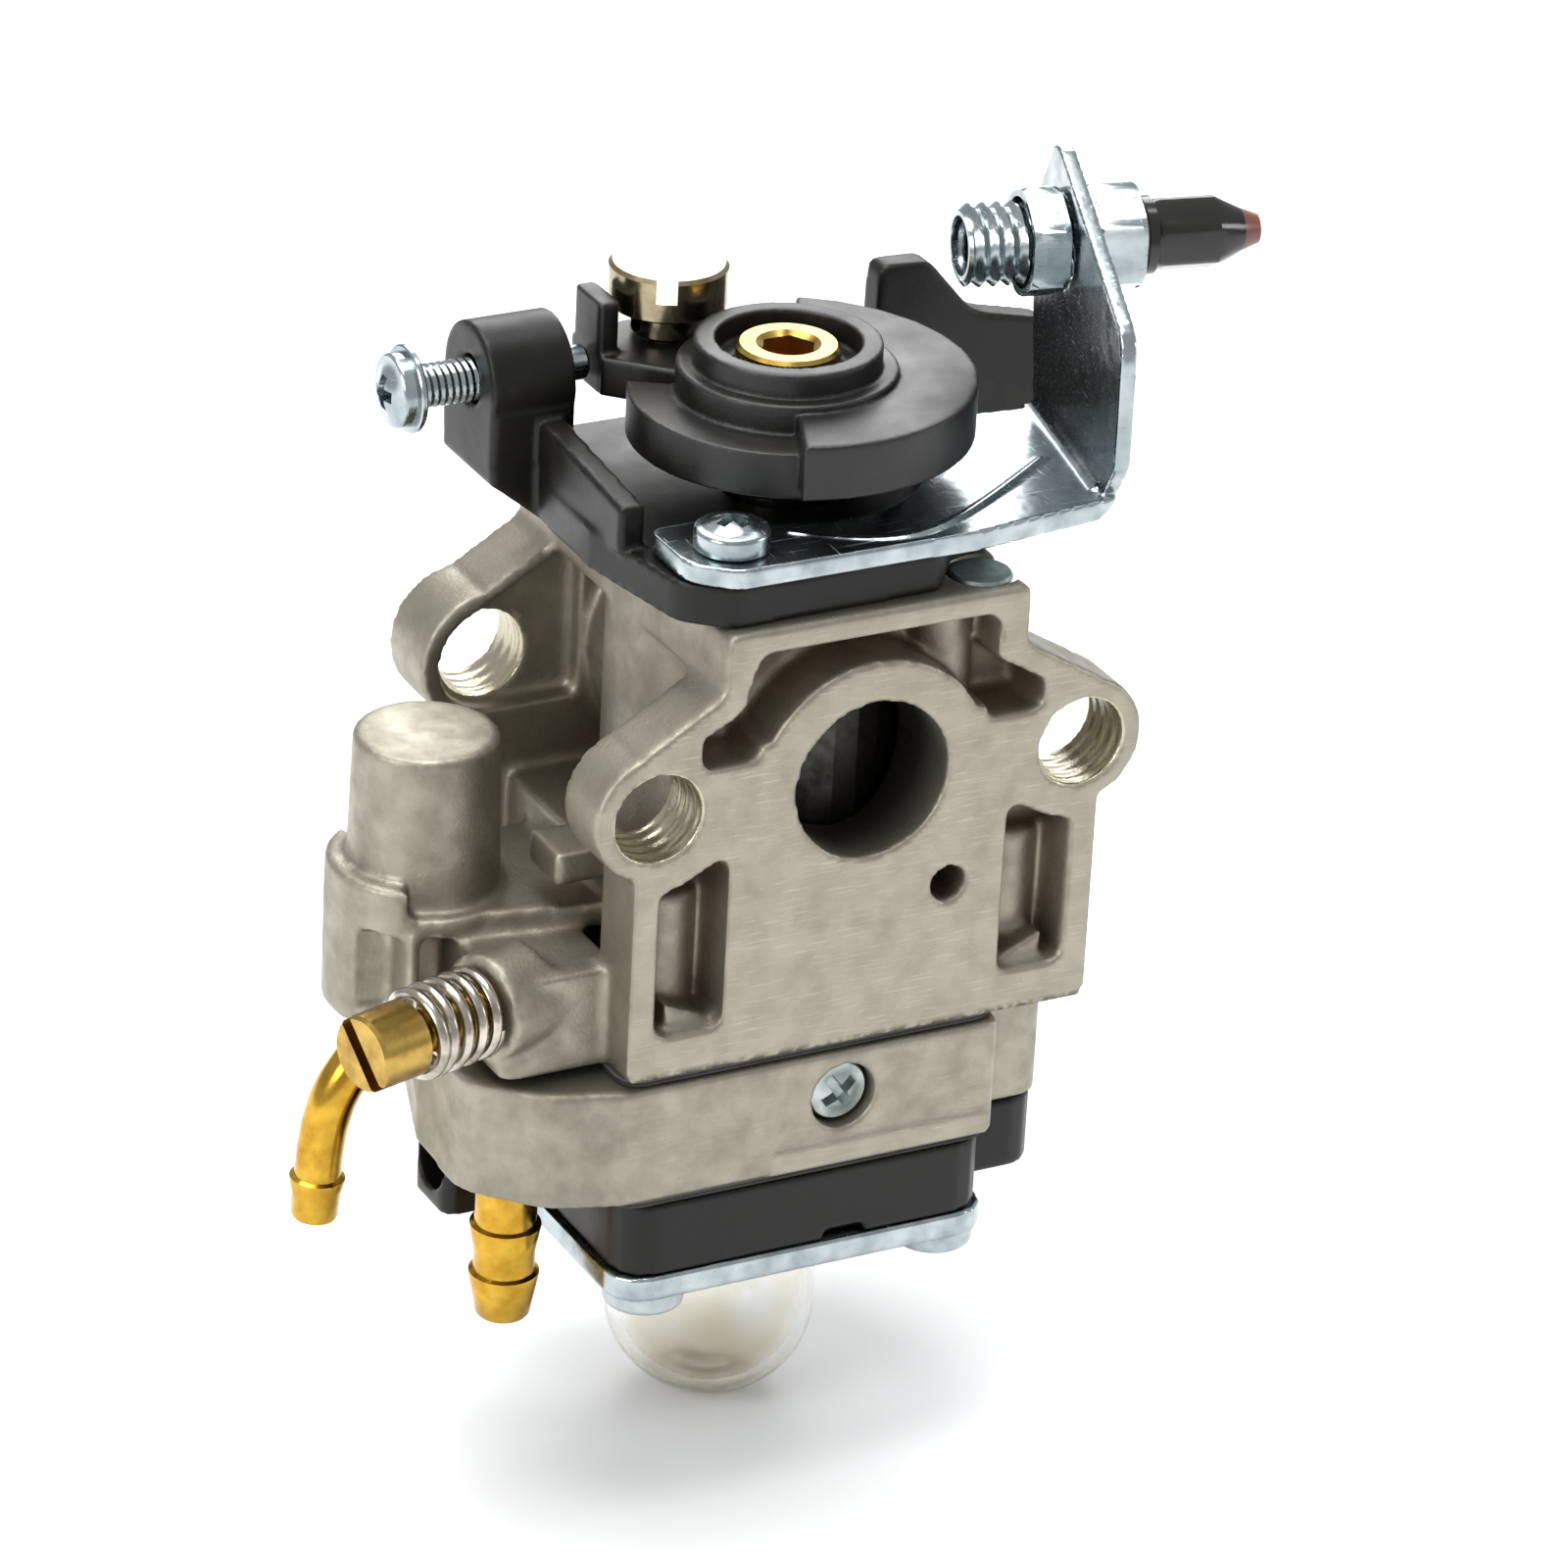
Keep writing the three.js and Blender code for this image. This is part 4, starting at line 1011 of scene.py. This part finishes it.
# The soft bulb and the valve that shows through it.
def softBulb():
    wall = 0.9
    radius, dome = 7.2, 6.6
    shoulder = bulbBottom + dome
    quarter = [math.pi / 2 * step / 20 for step in range(20)]
    rows = [(0, shoulder - dome + wall)]
    rows += [((radius - wall) * math.cos(a), shoulder - (dome - wall) * math.sin(a))
             for a in reversed(quarter)]
    rows += [(radius - wall, -32.9), (8.6, -32.9), (8.7, -33), (8.7, -34), (8.6, -34.1),
             (radius, -34.1)]
    rows += [(radius * math.cos(a), shoulder - dome * math.sin(a)) for a in quarter]
    rows += [(0, shoulder - dome)]
    piece = turnPiece("bulb", rows, 96)
    finish(move(piece, Matrix.Translation(bulbAxis)), "primerBulb", milky,
           ["primer_bulb"], body="body", creaseDegrees=40)
    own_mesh(piece)


def duckbillValve():
    rows = [(0, -41), (0.8, -40.95), (1.3, -40.6), (1.45, -39), (1.6, -37.4), (2.6, -36.4),
            (4.1, -35.5), (4.4, -35), (4.4, -34), (3.6, -33.75), (1.3, -33.5), (1.1, -33.2),
            (1.1, -30.8), (0, -30.8)]
    piece = turnPiece("valve", rows, 56)
    finish(move(piece, Matrix.Translation(bulbAxis)), "duckbillValve", valveGrey,
           ["duckbill_valve"])


softBulb()
duckbillValve()

# Pieces whose solids are already right keep them and get their finish.
insideFinishes = {
    "throttle_barrel": shadeSteel, "thrust_ring": steel, "jet_needle": steel, "main_nozzle": brass,
    "pump_gasket": paper, "metering_gasket": paper, "pump_diaphragm": fabric,
    "metering_diaphragm": fabric, "inlet_screen": steel, "metering_lever": steel,
    "lever_pin": steel, "lever_spring": wire, "inlet_needle": steel,
}
for node, material in insideFinishes.items():
    frame["nodes"][node].data.materials.clear()
    frame["nodes"][node].data.materials.append(material)
print("inner pieces ready")


# A pale floor and soft lamps all round.
def studio():
    bm = bmesh.new()
    corners = [bm.verts.new((x, y, bulbBottom * mm)) for x, y in ((-2, -2), (2, -2), (2, 2), (-2, 2))]
    bm.faces.new(corners)
    floor = keepMesh("floor", bm)
    paperWhite, tree, shader, place = startMaterial("studioPaper")
    cloud = grain(tree, place, 60, 2)
    tree.links.new(blend(tree, spread(tree, cloud, 0.3, 0.7, 0, 1), linear("#fbfbfb"), linear("#f8f8f8")),
                   shader.inputs["Base Color"])
    shader.inputs["Roughness"].default_value = 0.9
    shader.inputs["Specular IOR Level"].default_value = 0.1
    floor.data.materials.append(paperWhite)

    world = bpy.data.worlds.new("studioAir")
    world.use_nodes = True
    world.node_tree.nodes["Background"].inputs[0].default_value = linear("#f4f6f8")
    world.node_tree.nodes["Background"].inputs[1].default_value = 0.62
    bpy.context.scene.world = world

    lamps = {
        "topBox": ((-0.05, 0.1, 0.55), 0.45, 3.4),
        "leftBox": ((-0.55, -0.15, 0.28), 0.3, 1.6),
        "backBox": ((0.3, 0.5, 0.35), 0.4, 2.4),
        "rightStrip": ((0.5, -0.2, 0.15), 0.15, 0.4),
    }
    for name, (spot, size, power) in lamps.items():
        lamp = bpy.data.lights.new(name, "AREA")
        lamp.shape = "SQUARE"
        lamp.size = size
        lamp.energy = power
        light = bpy.data.objects.new(name, lamp)
        light.location = spot
        light.rotation_euler = (Vector((0, 0.015, 0)) - Vector(spot)).to_track_quat("-Z", "Y").to_euler()
        bpy.context.collection.objects.link(light)


def aimCamera():
    lens = bpy.data.cameras.new("camera")
    lens.lens = 180
    lens.sensor_width = 36
    camera = bpy.data.objects.new("camera", lens)
    right, up, back = (0.8886, -0.4562, 0.0477), (0.1643, 0.4139, 0.8954), (-0.4283, -0.7878, 0.4427)
    camera.matrix_world = (Matrix.Translation((-0.2230, -0.39812, 0.22471))
                           @ Matrix((right, up, back)).transposed().to_4x4())
    bpy.context.collection.objects.link(camera)
    bpy.context.scene.camera = camera


studio()
aimCamera()
bpy.context.scene.view_settings.view_transform = "Standard"
print("stage ready")
